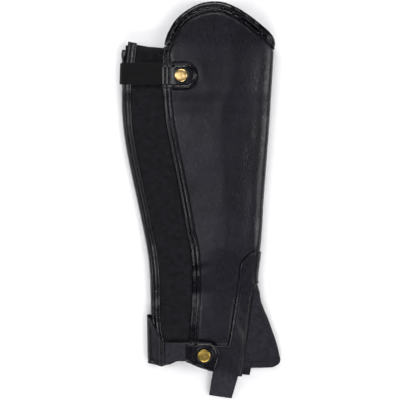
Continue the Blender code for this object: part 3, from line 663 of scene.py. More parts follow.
def fabric_look(name, light, dark, pitch=None):
    """Black polyester yarns, knitted over rubber, or woven where a pitch is given.

    The eye gets a matte cloth: knitted, with an edge of light on each rib, and woven, with
    small square ribs of yarn, as on elastic straps and zip tape. Both have a faint, dry
    bloom at a slant.
    """
    roughness, sheen, lint_wide = (0.62, 0.45, 5) if pitch else (0.7, 0.5, 7)
    look, tree, shader = material(
        name, Roughness=roughness, Sheen_Weight=0.02, Sheen_Roughness=sheen, IOR=1.22
    )
    where = add(tree, "ShaderNodeUVMap", uv_map="UVMap").outputs["UV"]
    lint = {"Vector": where, "Scale": 1 / (lint_wide * MM), "Detail": 6.0, "Roughness": 0.7}
    lint = add(tree, "ShaderNodeTexNoise", lint).outputs["Fac"]
    share = add(tree, "ShaderNodeMapRange", {0: lint, 1: 0.3, 2: 0.7}).outputs[0]
    ways = (("X", pitch, 0.0), ("Y", 1.3 * pitch, 0.0)) if pitch else (("X", 1.1 * MM, 1.5),)
    yarns = []
    for way, apart, wobble in ways:
        band = {"Vector": where, "Scale": WAVE / apart, "Distortion": wobble, "Detail": 1.0}
        yarns.append(add(tree, "ShaderNodeTexWave", band, bands_direction=way).outputs["Fac"])
    if pitch:
        woven = add(tree, "ShaderNodeMath", dict(enumerate(yarns)), operation="MULTIPLY")
        heights = [(woven.outputs[0], 0.15 * MM)]
    else:
        fuzz = {"Vector": where, "Scale": 1 / (0.7 * MM), "Detail": 3.0}
        fuzz = add(tree, "ShaderNodeTexNoise", fuzz).outputs["Fac"]
        heights = [(yarns[0], 0.12 * MM), (fuzz, 0.1 * MM)]
    finish(tree, shader, (share, dark, light), bumps=heights)
    return look


def thread_look(name, light):
    """Polyester sewing thread, dyed black: dull, and much darker than the waxed leather."""
    look, tree, shader = material(name, Roughness=0.7, IOR=1.12)
    where = add(tree, "ShaderNodeTexCoord").outputs["Object"]
    uneven = add(tree, "ShaderNodeTexNoise", {"Vector": where, "Scale": 1 / (6 * MM)})
    finish(tree, shader, (uneven.outputs["Fac"], "#040405", light))
    return look


def moulded_look(name, light, roughness):
    """Black nylon monofilament or lacquered die-cast zinc: smooth, with small clear glints."""
    look, tree, shader = material(name, IOR=1.5)
    where = add(tree, "ShaderNodeTexCoord").outputs["Object"]
    worn = {"Vector": where, "Scale": 1 / (3 * MM), "Detail": 3.0}
    worn = add(tree, "ShaderNodeTexNoise", worn).outputs["Fac"]
    dull = {0: worn, 3: roughness - 0.08, 4: roughness + 0.08}
    dull = add(tree, "ShaderNodeMapRange", dull).outputs[0]
    finish(tree, shader, (worn, "#0a0a0b", light), dull)
    return look


def brass_look(name, bright, dark, roughness):
    """Spun brass under clear lacquer: warm, with a soft brushed glow and a few darker spots."""
    look, tree, shader = material(name, Metallic=1.0)
    where = add(tree, "ShaderNodeTexCoord").outputs["Object"]
    spots, brushed = (
        add(tree, "ShaderNodeTexNoise", {"Vector": where, "Scale": 1 / (wide * MM), "Detail": fine})
        for wide, fine in ((4, 4.0), (0.8, 2.0))
    )
    spots = spots.outputs["Fac"]
    share = add(tree, "ShaderNodeMapRange", {0: spots, 1: 0.35, 2: 0.65}).outputs[0]
    worn = {0: spots, 3: roughness + 0.06, 4: roughness - 0.06}
    worn = add(tree, "ShaderNodeMapRange", worn).outputs[0]
    finish(tree, shader, (share, dark, bright), worn, [(brushed.outputs["Fac"], 0.03 * MM)])
    return look


LOOKS = {}


def make_looks(props):
    LOOKS.update(
        panel=leather_look(
            "Waxed cowhide", "#13121b", "#08080e", 1.5 * MM, 0.2 * MM, props.leather_roughness
        ),
        trim=leather_look(
            "Rolled cowhide trim", "#0b0b12", "#030306", 1.2 * MM, 0.06 * MM, 0.2, index=1.32
        ),
        ribbed=fabric_look("Ribbed elastic", "#19181e", "#020203"),
        ribbed_pale=fabric_look("Stretched ribbed elastic", "#2b2931", "#0f0e12"),
        webbing=fabric_look("Elastic webbing", "#0d0c0f", "#030304", 1.2 * MM),
        webbing_pale=fabric_look("Worn elastic webbing", "#2f2d36", "#161519", 1.2 * MM),
        tape=fabric_look("Zip tape", "#0f0f11", "#070708", 0.8 * MM),
        thread=thread_look("Bonded sewing thread", "#0b0b0d"),
        coil=moulded_look("Nylon coil", "#0e0e10", 0.35),
        slider=moulded_look("Lacquered zinc", "#141416", 0.28),
        brass=brass_look("Lacquered brass", "#dcbd86", "#b3935a", 0.3),
        # A darker copy of the same brass: painted shade for the lower cap, standing in for the
        # darker surroundings that the real cap reflects
        worn_brass=brass_look("Brass with painted shade", "#b59a52", "#8b7438", 0.34),
        stud=brass_look("Dull stud brass", "#8f7845", "#5d4c28", 0.4),
    )


# ------------------------------------------------------------------ the panels

# Where the panels' columns stand: from the front fold, and from the sewn edge
AT_FOLD = np.linspace(0, 12.4, 12) * MM
AT_END = np.array(
    [9.6, 8.6, 7.8, 7.1, 6.4, 5.7, 5.1, 4.6, 4.0, 3.4, 2.9, 2.4, 1.9, 1.4, 0.9, 0.4, 0]
) * MM
APEX_ROWS = np.array([-97, -98, -99.3, -101.5, -105]) * MM
# Level rows of the main panel, with others in their place about the head of the slit
PANEL_ROWS = np.arange(LOW_ROW, HIGH_ROW + MM, PANEL_STEP)
PANEL_ROWS = PANEL_ROWS[np.abs(PANEL_ROWS - APEX_ROWS.mean()) > 6 * MM]
PANEL_ROWS = np.sort(np.concatenate([PANEL_ROWS, APEX_ROWS, [-94.5 * MM]]))


def columns(start, end, count):
    """Distances from start to end, close together at the fold and at the sewn edge.

    On a narrow piece both close parts shrink, so that they never cross.
    """
    room = 1.2 * (AT_FOLD[-1] + AT_END[0])
    way = math.copysign(min(1, abs(end - start) / room), end - start)
    near_end = end - way * AT_END
    rest = np.linspace(start + way * AT_FOLD[-1], near_end[0], count - len(AT_END) + 1)
    return np.concatenate([start + way * AT_FOLD[:-1], rest, near_end[1:]])


def top_points(side, count):
    """The main panel's top edge, one point for each of its columns."""
    line = TOP_OUTER if side == 0 else TOP_INNER
    way = 1 if side == 0 else -1
    at_fold = np.column_stack([way * AT_FOLD, np.interp(AT_FOLD, way * line[:, 0], line[:, 1])])
    rest = np.vstack([at_fold[-1:], line[way * line[:, 0] > AT_FOLD[-1]]])
    reach = np.linalg.norm(np.diff(rest, axis=0), axis=1).sum()
    shares = columns(0, reach + AT_FOLD[-1], count)[len(AT_FOLD) - 1 :] - AT_FOLD[-1]
    return np.vstack([at_fold[:-1], resample(rest, shares / reach)])


def panel_grid(side, count):
    """The main panel on one side, from its lower edge to its top edge, as (a, y) points."""
    far, feet_rule = (panel_seam, FOOT_OUTER) if side == 0 else (inner_edge, FOOT_INNER)

    def row(y):
        return level(columns(slit(y, side), float(far(y)), count), y)

    first, last = row(PANEL_ROWS[0]), row(PANEL_ROWS[-1])
    ends = foot_line(feet_rule, first)
    feet = np.column_stack([columns(slit(ends[0], side), float(far(ends[-1])), count), ends])
    lower = between(feet, first, 13)[:-1]
    tops = top_points(side, count)
    upper = []
    for t in np.linspace(0, 1, 41)[1:]:
        line = last + (tops - last) * t
        edge_a, edge_y = line[-1]
        reach = np.clip((abs(line[:, 0]) - AT_FOLD[-1]) / (abs(edge_a) - AT_FOLD[-1]), 0, 1) ** 3
        line[:, 0] += reach * (float(far(edge_y)) - edge_a)
        upper.append(line)
    return np.array([*lower, *map(row, PANEL_ROWS), *upper])


def pressed(grid, lines, depth=1.2 * MM):
    """How far the cloth is pulled down beside the pieces sewn or strapped over it."""
    near = from_edge(grid, np.vstack(lines))
    return depth * np.exp(-((near / (1.5 * MM)) ** 2))


def strap_lines():
    """The outlines of the straps and tabs that lie on the outer side."""
    x = np.arange(-74, TAB_START, 0.7)
    lines = [from_x(x, np.full(len(x), y)) for y in (TOP_STRAP_LOW - 0.6, TOP_STRAP_HIGH + 0.6)]
    lines += [from_x(*rim_of(outline, 130).T) for outline in (top_tab_outline(), low_tab_outline())]
    x = np.arange(-40, -15, 0.7)
    return [*lines, from_x(x, np.full(len(x), -166.4))]


def make_main_panel():
    """The main panel, pulled down beside what is sewn or strapped over it."""
    grids = [panel_grid(0, 68), panel_grid(1, 34)]
    y = np.arange(-190, 180, 0.8) * MM
    points, inward, shares, _ = binding_edge()
    ledge = points + inward * (9.9 * binding_factors(shares)[0] * MM)[:, None]
    seam = np.column_stack([front_edge(y) - 0.5 * MM, y])
    lines = [seam, ledge[ledge[:, 0] > 0], overlay_edge(0), *strap_lines()]
    sunk = pressed(grids[0], lines)
    parts = [sheet_of(grids[0], -sunk, -LEATHER - sunk), sheet_of(grids[1], 0.0, -LEATHER)]
    piece = cloth("leather_panel", LOOKS["panel"], parts, soft=0.4 * MM)
    dress(piece, "black_leather", "main_panel")
    cut_from(piece, *grids, rests_on=["ground"])


STRETCH_HEAD = np.array([177.6, 178.4, 179.3, 181.0, 183.4]) * MM


def ribs(y, pitch):
    """Round ribs with narrow valleys between them, 0 at their crests and -1 between."""
    return -np.abs(np.cos(math.pi * y / pitch)) ** 3


def make_stretch_panel(props):
    """The elastic between the main panel and the zip, hemmed at its top."""
    shares = eased(23)

    def line(y):
        start, end = panel_seam(y) + GAP, strip_edge(y) - STRIP_COVER - GAP
        return np.column_stack([start + (end - start) * shares, y])

    rows = [line(np.full(len(shares), y)) for y in np.arange(-176, 168, RIB_STEP / MM) * MM]
    feet = line(foot_line(FOOT_OUTER, rows[0]))
    head = line(np.interp(shares, np.linspace(0, 1, 5), STRETCH_HEAD))
    grid = np.array([*between(feet, rows[0], 33)[:-1], *rows, *between(rows[-1], head, 29)[1:]])
    y = grid[..., 1]
    hem = step(165.5 * MM, 166.5 * MM, y)
    pulled = sum(bump_at(y, row * MM, 0.5 * MM) for row in HEM_ROWS)
    top = ribs(y, props.rib_pitch) * 0.3 * MM * (1 - 0.75 * hem) + hem * (0.25 - 0.3 * pulled) * MM
    along = np.arange(-190, 182, 0.8) * MM
    front = np.column_stack([front_edge(along) + (FRONT_RIDGES[-1][0] + 0.4) * MM, along])
    back = np.column_stack([strip_edge(along) + (BACK_RIDGES[0][0] - 0.4) * MM, along])
    sunk = 0.2 * MM + pressed(grid, [front, back, *strap_lines()], 0.7 * MM)
    piece = cloth("calf_elastic", LOOKS["ribbed"], [sheet_of(grid, top - sunk, -sunk - ELASTIC)])
    dress(piece, "ribbed_elastic", "stretch_panel")
    cut_from(piece, grid, rests_on=["leather_panel"])


HEM_ROWS = (172.6, 170.3, 168.0)
GORE_HEM_ROWS = (-185.6, -188.6)


def make_gore(props):
    """The elastic gore in the slit, folded at the front, with a thicker hem at its foot."""
    shares = [*np.linspace(0, 0.38, 9), *np.linspace(0.4, 0.6, 21), *np.linspace(0.62, 1, 9)]

    def line(y):
        low, high = slit(y, 1) + GORE_GAP, slit(y, 0) - GORE_GAP
        return level(low + (high - low) * np.array(shares), y)

    rows = [line(y) for y in np.arange(-183.4, -99.2, RIB_STEP / MM) * MM] + [line(-99.3 * MM)]
    rows.sort(key=lambda row: row[0, 1])
    feet = line(-193 * MM)
    feet[:, 1] = GORE_FOOT["y"](feet[:, 0])
    grid = np.array([*between(feet, rows[0], 21)[:-1], *rows])
    y = grid[..., 1]
    hem = 1 - step(-183.9 * MM, -183.1 * MM, y)
    pulled = sum(bump_at(y, row * MM, 0.7 * MM) for row in GORE_HEM_ROWS)
    top = ribs(y, props.rib_pitch) * 0.28 * MM * (1 - hem) + hem * (0.5 - 0.6 * pulled) * MM
    piece = cloth("instep_elastic", LOOKS["ribbed_pale"], [sheet_of(grid, top, -ELASTIC)])
    dress(piece, "ribbed_elastic", "instep_gore")
    cut_from(piece, grid, rests_on=["leather_panel"])


def overlay_rear(y, side=0):
    """Distance round of the overlay's rear edge."""
    return round_at(float(OVERLAY_EDGE["x"](y)), y, side)


def overlay_row(y, side, count):
    return level(columns(slit(y, side, OVERLAY_GAP), overlay_rear(y, side), count), y)


def overlay_grids(side):
    """The ankle overlay on one side, from the front fold back to its stitched edge."""
    count, feet_rule = (50, FOOT_OUTER) if side == 0 else (26, FOOT_INNER)
    levels = np.arange(OVERLAY_STEP, -60.4 * MM, 1.1 * MM)
    levels = levels[np.abs(levels - NOTCH_TOP) > MM]
    levels = np.sort(np.concatenate([levels, APEX_ROWS[:2], [-60.3 * MM]]))
    first = overlay_row(GORE_HEM, side, count)
    ends = foot_line(feet_rule, first) + 0.2 * MM
    shift = slit(ends[0], side, OVERLAY_GAP) - first[0, 0]
    shares = np.linspace(1, 0, len(first))
    feet = np.column_stack([first[:, 0] + shift * shares, ends])
    lower = between(feet, first, 22)[:-1]
    rising = [overlay_row(y, side, count) for y in np.linspace(GORE_HEM, OVERLAY_STEP, 12)]
    grids = [np.array([*lower, *rising, *(overlay_row(y, side, count) for y in levels[1:])])]
    if side == 0:
        heel = round_at(OVERLAY_HEEL_X, OVERLAY_STEP)
        heel_foot = foot_line(FOOT_OUTER, [(heel, GORE_HEM)])[0] + 0.2 * MM
        rear = np.array([line[-1] for line in (*lower, *rising)])
        heel_y = np.linspace(heel_foot, GORE_HEM, 22)[:-1]
        heel_y = [*heel_y, *np.linspace(GORE_HEM, OVERLAY_STEP, 12)]
        back = np.column_stack([np.full(len(heel_y), heel), heel_y])
        grids.append(np.stack(between(rear, back, 28), 1))
    return grids


def overlay_edge(side):
    """The overlay's rear edge as one dense (a, y) line, on the outer side to the heel."""
    levels = np.array([*np.linspace(-60.3, -97, 120), *np.arange(-97.5, -206, -0.6)]) * MM
    back = [(overlay_rear(y, side), y) for y in levels]
    if side == 0:
        start, heel = overlay_rear(OVERLAY_STEP), round_at(OVERLAY_HEEL_X, OVERLAY_STEP)
        back = [point for point in back if point[1] > OVERLAY_STEP]
        back += [(a, OVERLAY_STEP) for a in np.arange(start, heel, 0.6 * MM)]
    return np.array(back)


def gore_edge(side):
    """The overlay's edge beside the gore, from the head of the slit down."""
    return np.array([(slit(y, side, OVERLAY_GAP), y) for y in np.arange(-98, -206, -0.6) * MM])


def make_overlay():
    """The ankle overlay: a leather reinforcement over the front fold and round the gore."""
    grids, parts = [], []
    for side in (0, 1):
        lines = np.vstack([overlay_edge(side), gore_edge(side)])
        for grid in overlay_grids(side):
            raised = turned_edge(from_edge(grid, lines))
            grids.append(grid)
            parts.append(sheet_of(grid, UNDER + OVERLAY + raised, UNDER))
    piece = cloth("ankle_leather", LOOKS["panel"], parts, soft=0.25 * MM)
    dress(piece, "black_leather", "ankle_overlay")
    cut_from(piece, *grids, rests_on=["leather_panel"])


# ------------------------------------------------------------------ strips and binding

# Faces of the strips: distance round from their edge and height, in millimetres
FRONT_RIDGES = (
    (0, 0.5), (0.7, 1.5), (2.2, 2.0), (3.6, 0.9), (4.5, 0.6), (5.3, 0.9), (6.3, 1.75),
    (7.5, 1.6), (8.6, 0.5),
)
BACK_RIDGES = (
    (-10.2, 0.5), (-9.5, 1.15), (-8.7, 1.25), (-7.6, 0.6), (-6.5, 1.4), (-5.3, 1.9),
    (-4.2, 1.3), (-3.2, 0.6), (-2.3, 1.35), (-1.4, 1.65), (-0.6, 1.3), (0, 0.5),
)
FRONT_SEWN, BACK_SEWN = (4.5,), (-7.6, -3.2)
STRIP_LOW, FRONT_TOP, BACK_TOP, BACK_LEVEL = -176 * MM, 179.4 * MM, 183.6 * MM, 176 * MM
FRONT_LEAN, FRONT_LEANS = 0.35, 171 * MM     # the front strip's head leans into the binding


def front_edge(y):
    return panel_seam(y) - STRIP_REACH - FRONT_LEAN * np.maximum(y - FRONT_LEANS, 0)


def ridged(table_mm, offsets):
    where, height = np.array(table_mm).T
    return curve(where * MM, height * MM)(offsets)


def make_strip(name, node, ridges, sewn, edge, top_y, slant, stitch):
    """A leather strip over a seam, stitched into ridges that the thread pulls in."""
    offsets = np.linspace(ridges[0][0], ridges[-1][0], 27) * MM
    rows = np.linspace(STRIP_LOW, top_y, round((top_y - STRIP_LOW) / TRIM_STEP))
    edges = edge(rows)
    a = edges[:, None] + offsets[None]
    tilt = step(BACK_LEVEL, BACK_TOP, rows)[:, None] * slant * (offsets - offsets[0])[None]
    y = rows[:, None] + tilt
    top = ridged(ridges, offsets)[None] + 0.04 * MM * ripple(y / (3.4 * MM), a / (2.2 * MM))
    for row in sewn:
        pull = 0.5 + 0.5 * np.cos(2 * math.pi * y / stitch)
        top = top - 0.16 * MM * pull * bump_at(offsets, row * MM, 1.1 * MM)[None]
    grid = np.stack([a, y], -1)
    piece = cloth(name, LOOKS["trim"], [sheet_of(grid, top, UNDER)])
    dress(piece, "trim_leather", node)
    cut_from(piece, grid, rests_on=["calf_elastic", "leather_panel"], straight=True)


# The binding's section: depth in from the edge and height above the cloth, in millimetres
BINDING_FACE = (
    (-1.7, -0.9), (-1.75, 0.3), (-1.1, 1.6), (0.4, 2.5), (1.7, 2.95), (3.0, 3.0), (4.3, 2.75),
    (5.4, 2.1), (6.1, 1.2), (6.6, 0.75), (7.1, 1.15), (8.0, 1.4), (8.9, 1.1), (9.5, 0.8),
    (9.6, 0.4),
)
BINDING_BACK = (
    (6.5, 0.4), (3.0, 0.4), (-0.4, 0.4), (-0.4, -2.2), (3.5, -2.2), (7.5, -2.2), (7.5, -3.1),
)
BINDING_UNDER = ((3.5, -3.15), (0.5, -3.1), (-0.9, -2.9), (-1.45, -2.1))
# How wide and how high that section is, by the share of the way along the edge
BINDING_ALONG = (
    (0, 0.85, 0.8), (0.15, 0.9, 0.9), (0.3, 1.05, 1.0), (0.42, 1.1, 1.0), (0.47, 0.8, 0.55),
    (1, 0.75, 0.5),
)
BINDING_STARTS = 3.2 * MM
GROOVE, LEDGE_SEWN = 6.5, (6.6, 8.9)


def binding_edge():
    """The whole top edge, from the seam over the front fold to the zip, evenly spaced."""
    line = np.vstack([TOP_OUTER[::-1], TOP_INNER[1:]])
    length = np.linalg.norm(np.diff(line, axis=0), axis=1).sum()
    count = round(length / (0.9 * MM))
    shares = np.linspace(BINDING_STARTS, length - BINDING_STARTS, count) / length
    points = resample(line, shares)
    tangents = np.gradient(points, axis=0)
    for _ in range(6):
        tangents[1:-1] = (tangents[:-2] + 2 * tangents[1:-1] + tangents[2:]) / 4
    inward = np.column_stack([-tangents[:, 1], tangents[:, 0]])
    return points, inward / np.linalg.norm(inward, axis=1)[:, None], shares, length


def binding_factors(shares):
    keys, wide, high = np.array(BINDING_ALONG).T
    wide, high = np.interp(shares, keys, wide), np.interp(shares, keys, high)
    tucked = 1 - step(0.0, 0.025, shares)
    return wide * (1 - 0.15 * tucked), high * (1 - 0.4 * tucked)


def make_binding():
    """The rolled leather binding, folded over the top edge and gathered into its stitching."""
    points, inward, shares, length = binding_edge()
    wide, high = binding_factors(shares)
    face = resample(BINDING_FACE, np.linspace(0, 1, 30))
    profile = np.vstack([face, BINDING_BACK, BINDING_UNDER])
    depth, height = profile.T
    depth = np.where(depth > 0, depth * wide[:, None], depth)
    height = np.where(height > 0.4, 0.4 + (height - 0.4) * high[:, None], height)
    along = (shares * length)[:, None]
    shown = np.where(np.arange(len(profile)) < len(face), 1.0, 0.0)[None]
    near_groove = bump_at(profile[:, 0], GROOVE, 2.6)[None] * shown
    puckers = ripple(along / (2.3 * MM), profile[:, 0][None] / 5.0) * near_groove * 0.38
    waves = ripple(along / (7 * MM) + 4, profile[:, 0][None] / 4.0) * 0.16 * shown
    height = height + (puckers + waves) * np.minimum(high, 0.8)[:, None]
    a, y = (points[:, k, None] + depth * MM * inward[:, k, None] for k in (0, 1))
    piece = swept("top_roll", LOOKS["trim"], lay(a, y, height * MM), along, profile)
    dress(piece, "trim_leather", "top_binding")


def swept(name, look, rings, along, profile):
    """A closed solid through equal rings of points, capped at both ends."""
    count, size = rings.shape[:2]
    index = np.arange(count * size).reshape(count, size)
    turn = np.roll(index, -1, axis=1)
    quads = np.stack([index[:-1], turn[:-1], turn[1:], index[1:]], -1).reshape(-1, 4).tolist()
    mesh = bpy.data.meshes.new(name)
    mesh.from_pydata(rings.reshape(-1, 3).tolist(), [], [*quads, *index[[0, -1]].tolist()])
    round_it = run_of(profile)[None] * MM
    unwrap(mesh, np.stack(np.broadcast_arrays(round_it, along), -1).reshape(-1, 2))
    caps = bmesh.new()
    caps.from_mesh(mesh)
    bmesh.ops.triangulate(caps, faces=[f for f in caps.faces if len(f.verts) > 4])
    caps.to_mesh(mesh)
    caps.free()
    return finished(name, mesh, look)


# ------------------------------------------------------------------ the zip


def make_zip_tapes():
    """What shows of the tape on each side of the zip."""
    rows = np.arange(-189, 182.7, 2.0) * MM
    ends = strip_edge(rows) - STRIP_COVER, zip_line(rows) - CHAIN_HALF - GAP
    outer = ruled(between(*ends, 12).T, rows)
    rows = np.arange(-186, 175.6, 2.0) * MM
    start = zip_line(rows) + CHAIN_HALF + GAP
    inner = ruled(start[:, None] + np.linspace(0, TAPE_SHOWN, 6)[None], rows)
    for side, grid in (("outer", outer), ("inner", inner)):
        piece = cloth("tape_" + side, LOOKS["tape"], [sheet_of(grid, -0.1 * MM, -TAPE)])
        dress(piece, "zip_tape", "zip_tape_" + side)
        cut_from(piece, grid, rests_on=["leather_panel"], straight=True)


def make_zip_chain(props):
    """A coil zip: a narrow tape with interlocked turns of nylon across it."""
    rows = np.arange(-185, 175.1, 2.0) * MM
    grid = ruled(zip_line(rows)[:, None] + np.linspace(-1, 1, 7)[None] * CHAIN_HALF, rows)
    tape = cloth("chain_tape", LOOKS["tape"], [sheet_of(grid, -0.35 * MM, -1.2 * MM)])
    rows = np.arange(-184.5, 174.6, 1.5) * MM
    path = zip_line(rows), rows, np.full(len(rows), -0.15 * MM)
    sizes = {
        "Spacing": props.tooth_pitch, "Length": 0.95 * MM, "Width": 3.5 * MM, "Height": 1.5 * MM,
    }
    teeth = along_paths("chain_teeth", [path], sizes, LOOKS["coil"], 0.0)
    for piece in (tape, teeth):
        dress(piece, "zip_coil", "zip_chain")


# The slider and, below it, its pull: y, half width and height of the face, in millimetres
SLIDER_BODY = (
    (163.4, 1.2, 1.6), (164.0, 1.9, 2.0), (166.0, 2.4, 2.5), (170.0, 3.2, 3.0),
    (173.6, 3.3, 2.95), (175.4, 2.9, 2.6), (176.1, 1.9, 2.2),
)
PULL = (
    (143.2, 0.9), (143.9, 1.6), (145.2, 2.0), (150.0, 2.0), (157.0, 1.7), (162.4, 1.5),
    (164.6, 1.1),
)


def make_slider():
    """The slider at the head of the zip, with its bridge, and its pull lying down the chain."""
    s = np.linspace(-1, 1, 15)[None]

    def across(y, half, rows):
        return ruled(zip_line(rows)[:, None] + s * curve(y, half)(rows)[:, None], rows)

    y, half, high = np.array(SLIDER_BODY).T * MM
    rows = np.linspace(y[0], y[-1], 34)
    dome = 1 - 0.22 * np.abs(s) ** 3
    bridge = 0.25 * MM * bump_at(rows, 169.5 * MM, 2.6 * MM)[:, None] * bump_at(s, 0, 0.34)
    top = curve(y, high)(rows)[:, None] * dome + bridge - 0.25 * MM
    face = sheet_of(across(y, half, rows), top, 0.8 * MM)
    body = cloth("slider_body", LOOKS["slider"], [face], soft=0.2 * MM)
    y, half = np.array(PULL).T * MM
    rows = np.linspace(y[0], y[-1], 44)
    top = 1.25 * MM + 0.18 * MM * np.abs(s) ** 4 * np.ones((len(rows), 1))
    face = sheet_of(across(y, half, rows), top, 0.85 * MM)
    pull = cloth("slider_pull", LOOKS["slider"], [face], soft=0.12 * MM)
    for piece in (body, pull):
        dress(piece, "zip_coil", "zip_slider")


# ------------------------------------------------------------------ straps and press studs

TOP_STRAP_LOW, TOP_STRAP_HIGH = 135.2, 160.6
TOP_STRAP_RISE = ((-38, 0.35), (-12, 0.35), (-6.5, 0.7), (-4, 1.85), (2, 1.9), (6, 2.3), (60, 2.3))
TAB_START, TAB_END, TAB_LOW, TAB_HIGH = -43.4, -3.2, 131.0, 159.2
TAB_RISE = ((-44, 2.4), (-33.2, 2.4), (-27.6, 3.3), (-14.5, 3.3), (-3, 2.0))
TOP_SNAP, LOW_SNAP = (-21.2, 145.4, 3.3), (5.2, -181.9, 3.6)
LOW_TAB = (
    (-15.8, -189.4, -166.4), (-11.6, -191.0, -166.5), (-10.4, -191.6, -166.5),
    (-6.5, -193.2, -166.5), (-1.5, -195.2, -166.6), (5.2, -197.6, -166.7),
    (12.0, -199.8, -167.0), (15.4, -200.6, -168.2),
    (17.6, -199.6, -169.8), (19.6, -195.0, -172.0), (21.4, -189.6, -175.2), (22.5, -184.6, -179.6),
)
LOW_TAB_RISE = ((-16, 2.3), (-6.5, 2.5), (-1.5, 3.6), (12, 3.6), (23, 2.6))
TOP_TAB_RIDGES, LOW_TAB_RIDGES = (-41.2, -36.6), (-13.6, -10.0)
HEEL_STRAP = (
    (-27, 0.35, -184.5, -158.0), (-20, 0.35, -185.5, -150.5), (-14, 0.35, -187.0, -142.0),
    (-10, 0.35, -188.5, -138.0), (-6.5, 0.4, -190.0, -135.4), (-3, 0.8, -190.8, -134.2),
    (0, 1.3, -191.2, -134.0), (3, 1.9, -191.4, -137.0), (6, 2.3, -192.0, -142.6),
    (9, 2.3, -193.0, -149.5), (12, 2.3, -194.2, -157.0), (15, 2.3, -195.0, -163.4),
)
HEEL_STRAP_END = (-41.0, -193.4, -166.4)
LOW_STRAP = (
    (-40.5, -192.0, -166.8), (-34, -190.6, -167.0), (-24, -188.2, -167.0), (-16.3, -188.6, -166.6),
)
LOW_STRAP_RISE = 2.3         # where it runs flat, and where the heel leather ends


def rises(stations, at_mm):
    """Height in metres, read smoothly from (where, height) pairs in millimetres."""
    where, height = np.array([station[:2] for station in stations], float).T
    return curve(where, height)(at_mm) * MM


def from_x(x, y):
    """(a, y) points from x and y in millimetres on the outer side."""
    return np.stack([rounds(x * MM, y * MM), y * MM], -1)


def make_top_strap():
    """Elastic from the underside, round the back fold, to the leather tab."""
    y = np.linspace(TOP_STRAP_LOW, TOP_STRAP_HIGH, 34)
    end = float(from_back(rounds(TAB_START * MM, 146 * MM), 146 * MM)) / MM
    b = [*np.linspace(-38, -10, 20), *np.linspace(-9.5, 9.5, 40), *np.linspace(10.4, end - 0.5, 44)]
    b, y = np.meshgrid(b, y)
    middle = (TOP_STRAP_LOW + TOP_STRAP_HIGH) / 2
    y = middle + (y - middle) * (1 - 0.05 * bump_at(b, 0, 3.4))
    edge = np.minimum(y - TOP_STRAP_LOW, TOP_STRAP_HIGH - y)
    selvedge = -0.35 * MM * np.exp(-np.abs(edge) / 0.5)
    under = rises(TOP_STRAP_RISE, b)
    grid = np.stack([from_back(b * MM, y * MM), y * MM], -1)
    face = sheet_of(grid, under + ELASTIC + selvedge, under)
    piece = cloth("calf_strap", LOOKS["webbing"], [face])
    dress(piece, "elastic_webbing", "top_strap")
    cut_from(piece, grid, rests_on=["calf_elastic", "leather_panel"])


def top_tab_outline():
    """Columns of the top tab: x and its lower and upper y there."""
    reach, middle = (TAB_HIGH - TAB_LOW) / 2, (TAB_HIGH + TAB_LOW) / 2
    centre = TAB_END - reach
    straight = [(x, TAB_LOW, TAB_HIGH) for x in np.linspace(TAB_START, centre, 42)[:-1]]
    turn = [
        (centre + reach * math.sin(t), middle - reach * math.cos(t), middle + reach * math.cos(t))
        for t in np.linspace(0, math.radians(84), 26)
    ]
    return np.array(straight + turn)


def low_tab_outline():
    return smoothed(LOW_TAB, 76)


def rim_of(outline, count):
    """A tab's edge from its columns, as evenly spaced points, open where it is sewn on."""
    rim = np.vstack([outline[:, [0, 1]], outline[::-1, [0, 2]]])
    return resample(rim, np.linspace(0, 1, count))


def make_tab(name, node, outline, rise, ridges, snap):
    """A leather tab that rises over its press stud, with the elastic sewn into its ridges."""
    shares = eased(44)
    x = np.broadcast_to(outline[:, 0][None], (len(shares), len(outline)))
    y = outline[:, 1][None] + (outline[:, 2] - outline[:, 1])[None] * shares[:, None]
    grid = from_x(x, y)
    rim = np.vstack([outline[:, [0, 1]], outline[::-1, [0, 2]], outline[:1, [0, 1]]])
    rim = resample(rim, np.linspace(0, 1, 320))
    flat = np.stack([x, y], -1)
    open_end = rim[rim[:, 0] > outline[0, 0] + 0.3]
    raised = turned_edge(from_edge(flat * MM, open_end * MM), dip=0.4 * MM)
    sewn = sum(0.55 * MM * bump_at(x, ridge, 1.0) for ridge in ridges)
    ringed = 0.3 * MM * bump_at(np.hypot(x - snap[0], y - snap[1]), 9.3, 0.8)
    under = rises(rise, x)
    top = under + LEATHER + raised + sewn + ringed
    piece = cloth(name, LOOKS["trim"], [sheet_of(grid, top, under)])
    dress(piece, "trim_leather", node)
    cut_from(piece, grid, rests_on=["leather_panel"])


def heel_stations():
    """Columns of the heel leather: distance from the back fold, rise, lower and upper y."""
    stations = smoothed(HEEL_STRAP, 78)
    low, high = HEEL_STRAP_END[1:]
    end_b = float(from_back(rounds(HEEL_STRAP_END[0] * MM, low * MM), low * MM)) / MM
    last = np.array([end_b, LOW_STRAP_RISE, low, high])
    return np.vstack([stations, between(stations[-1], last, 8)[1:]])


def make_heel_strap():
    """The leather base of the lower strap, wrapped round the heel end of the zip."""
    stations = heel_stations()
    shares = np.linspace(0, 1, 48)[:, None]
    b, rise, low, high = (column[None] for column in stations.T)
    y = low + (high - low) * shares
    b, rise, _ = np.broadcast_arrays(b, rise, y)
    grid = np.stack([from_back(b * MM, y * MM), y * MM], -1)
    edge = np.minimum(y - low, high - y) * 0.8
    end = b[0, -1] - b
    sewn = 0.5 * bump_at(end, 2.3, 1.1) + 0.5 * bump_at(end, 6.8, 1.1)
    sewn = sewn - 0.5 * bump_at(end, 4.6, 0.7)
    top = rise * MM + HEEL + turned_edge(np.minimum(edge, end + 0.4) * MM) + sewn * MM
    off = 1.9 * MM * bump_at(b, -0.5, 5.0)
    uv, face, back = sheet_of(grid, top, rise * MM)
    for layer in (face, back):
        layer[..., 0] -= off
    piece = cloth("heel_leather", LOOKS["panel"], [(uv, face, back)], soft=0.2 * MM)
    dress(piece, "black_leather", "heel_strap")
    cut_from(piece, grid, rests_on=["leather_panel", "calf_elastic"])


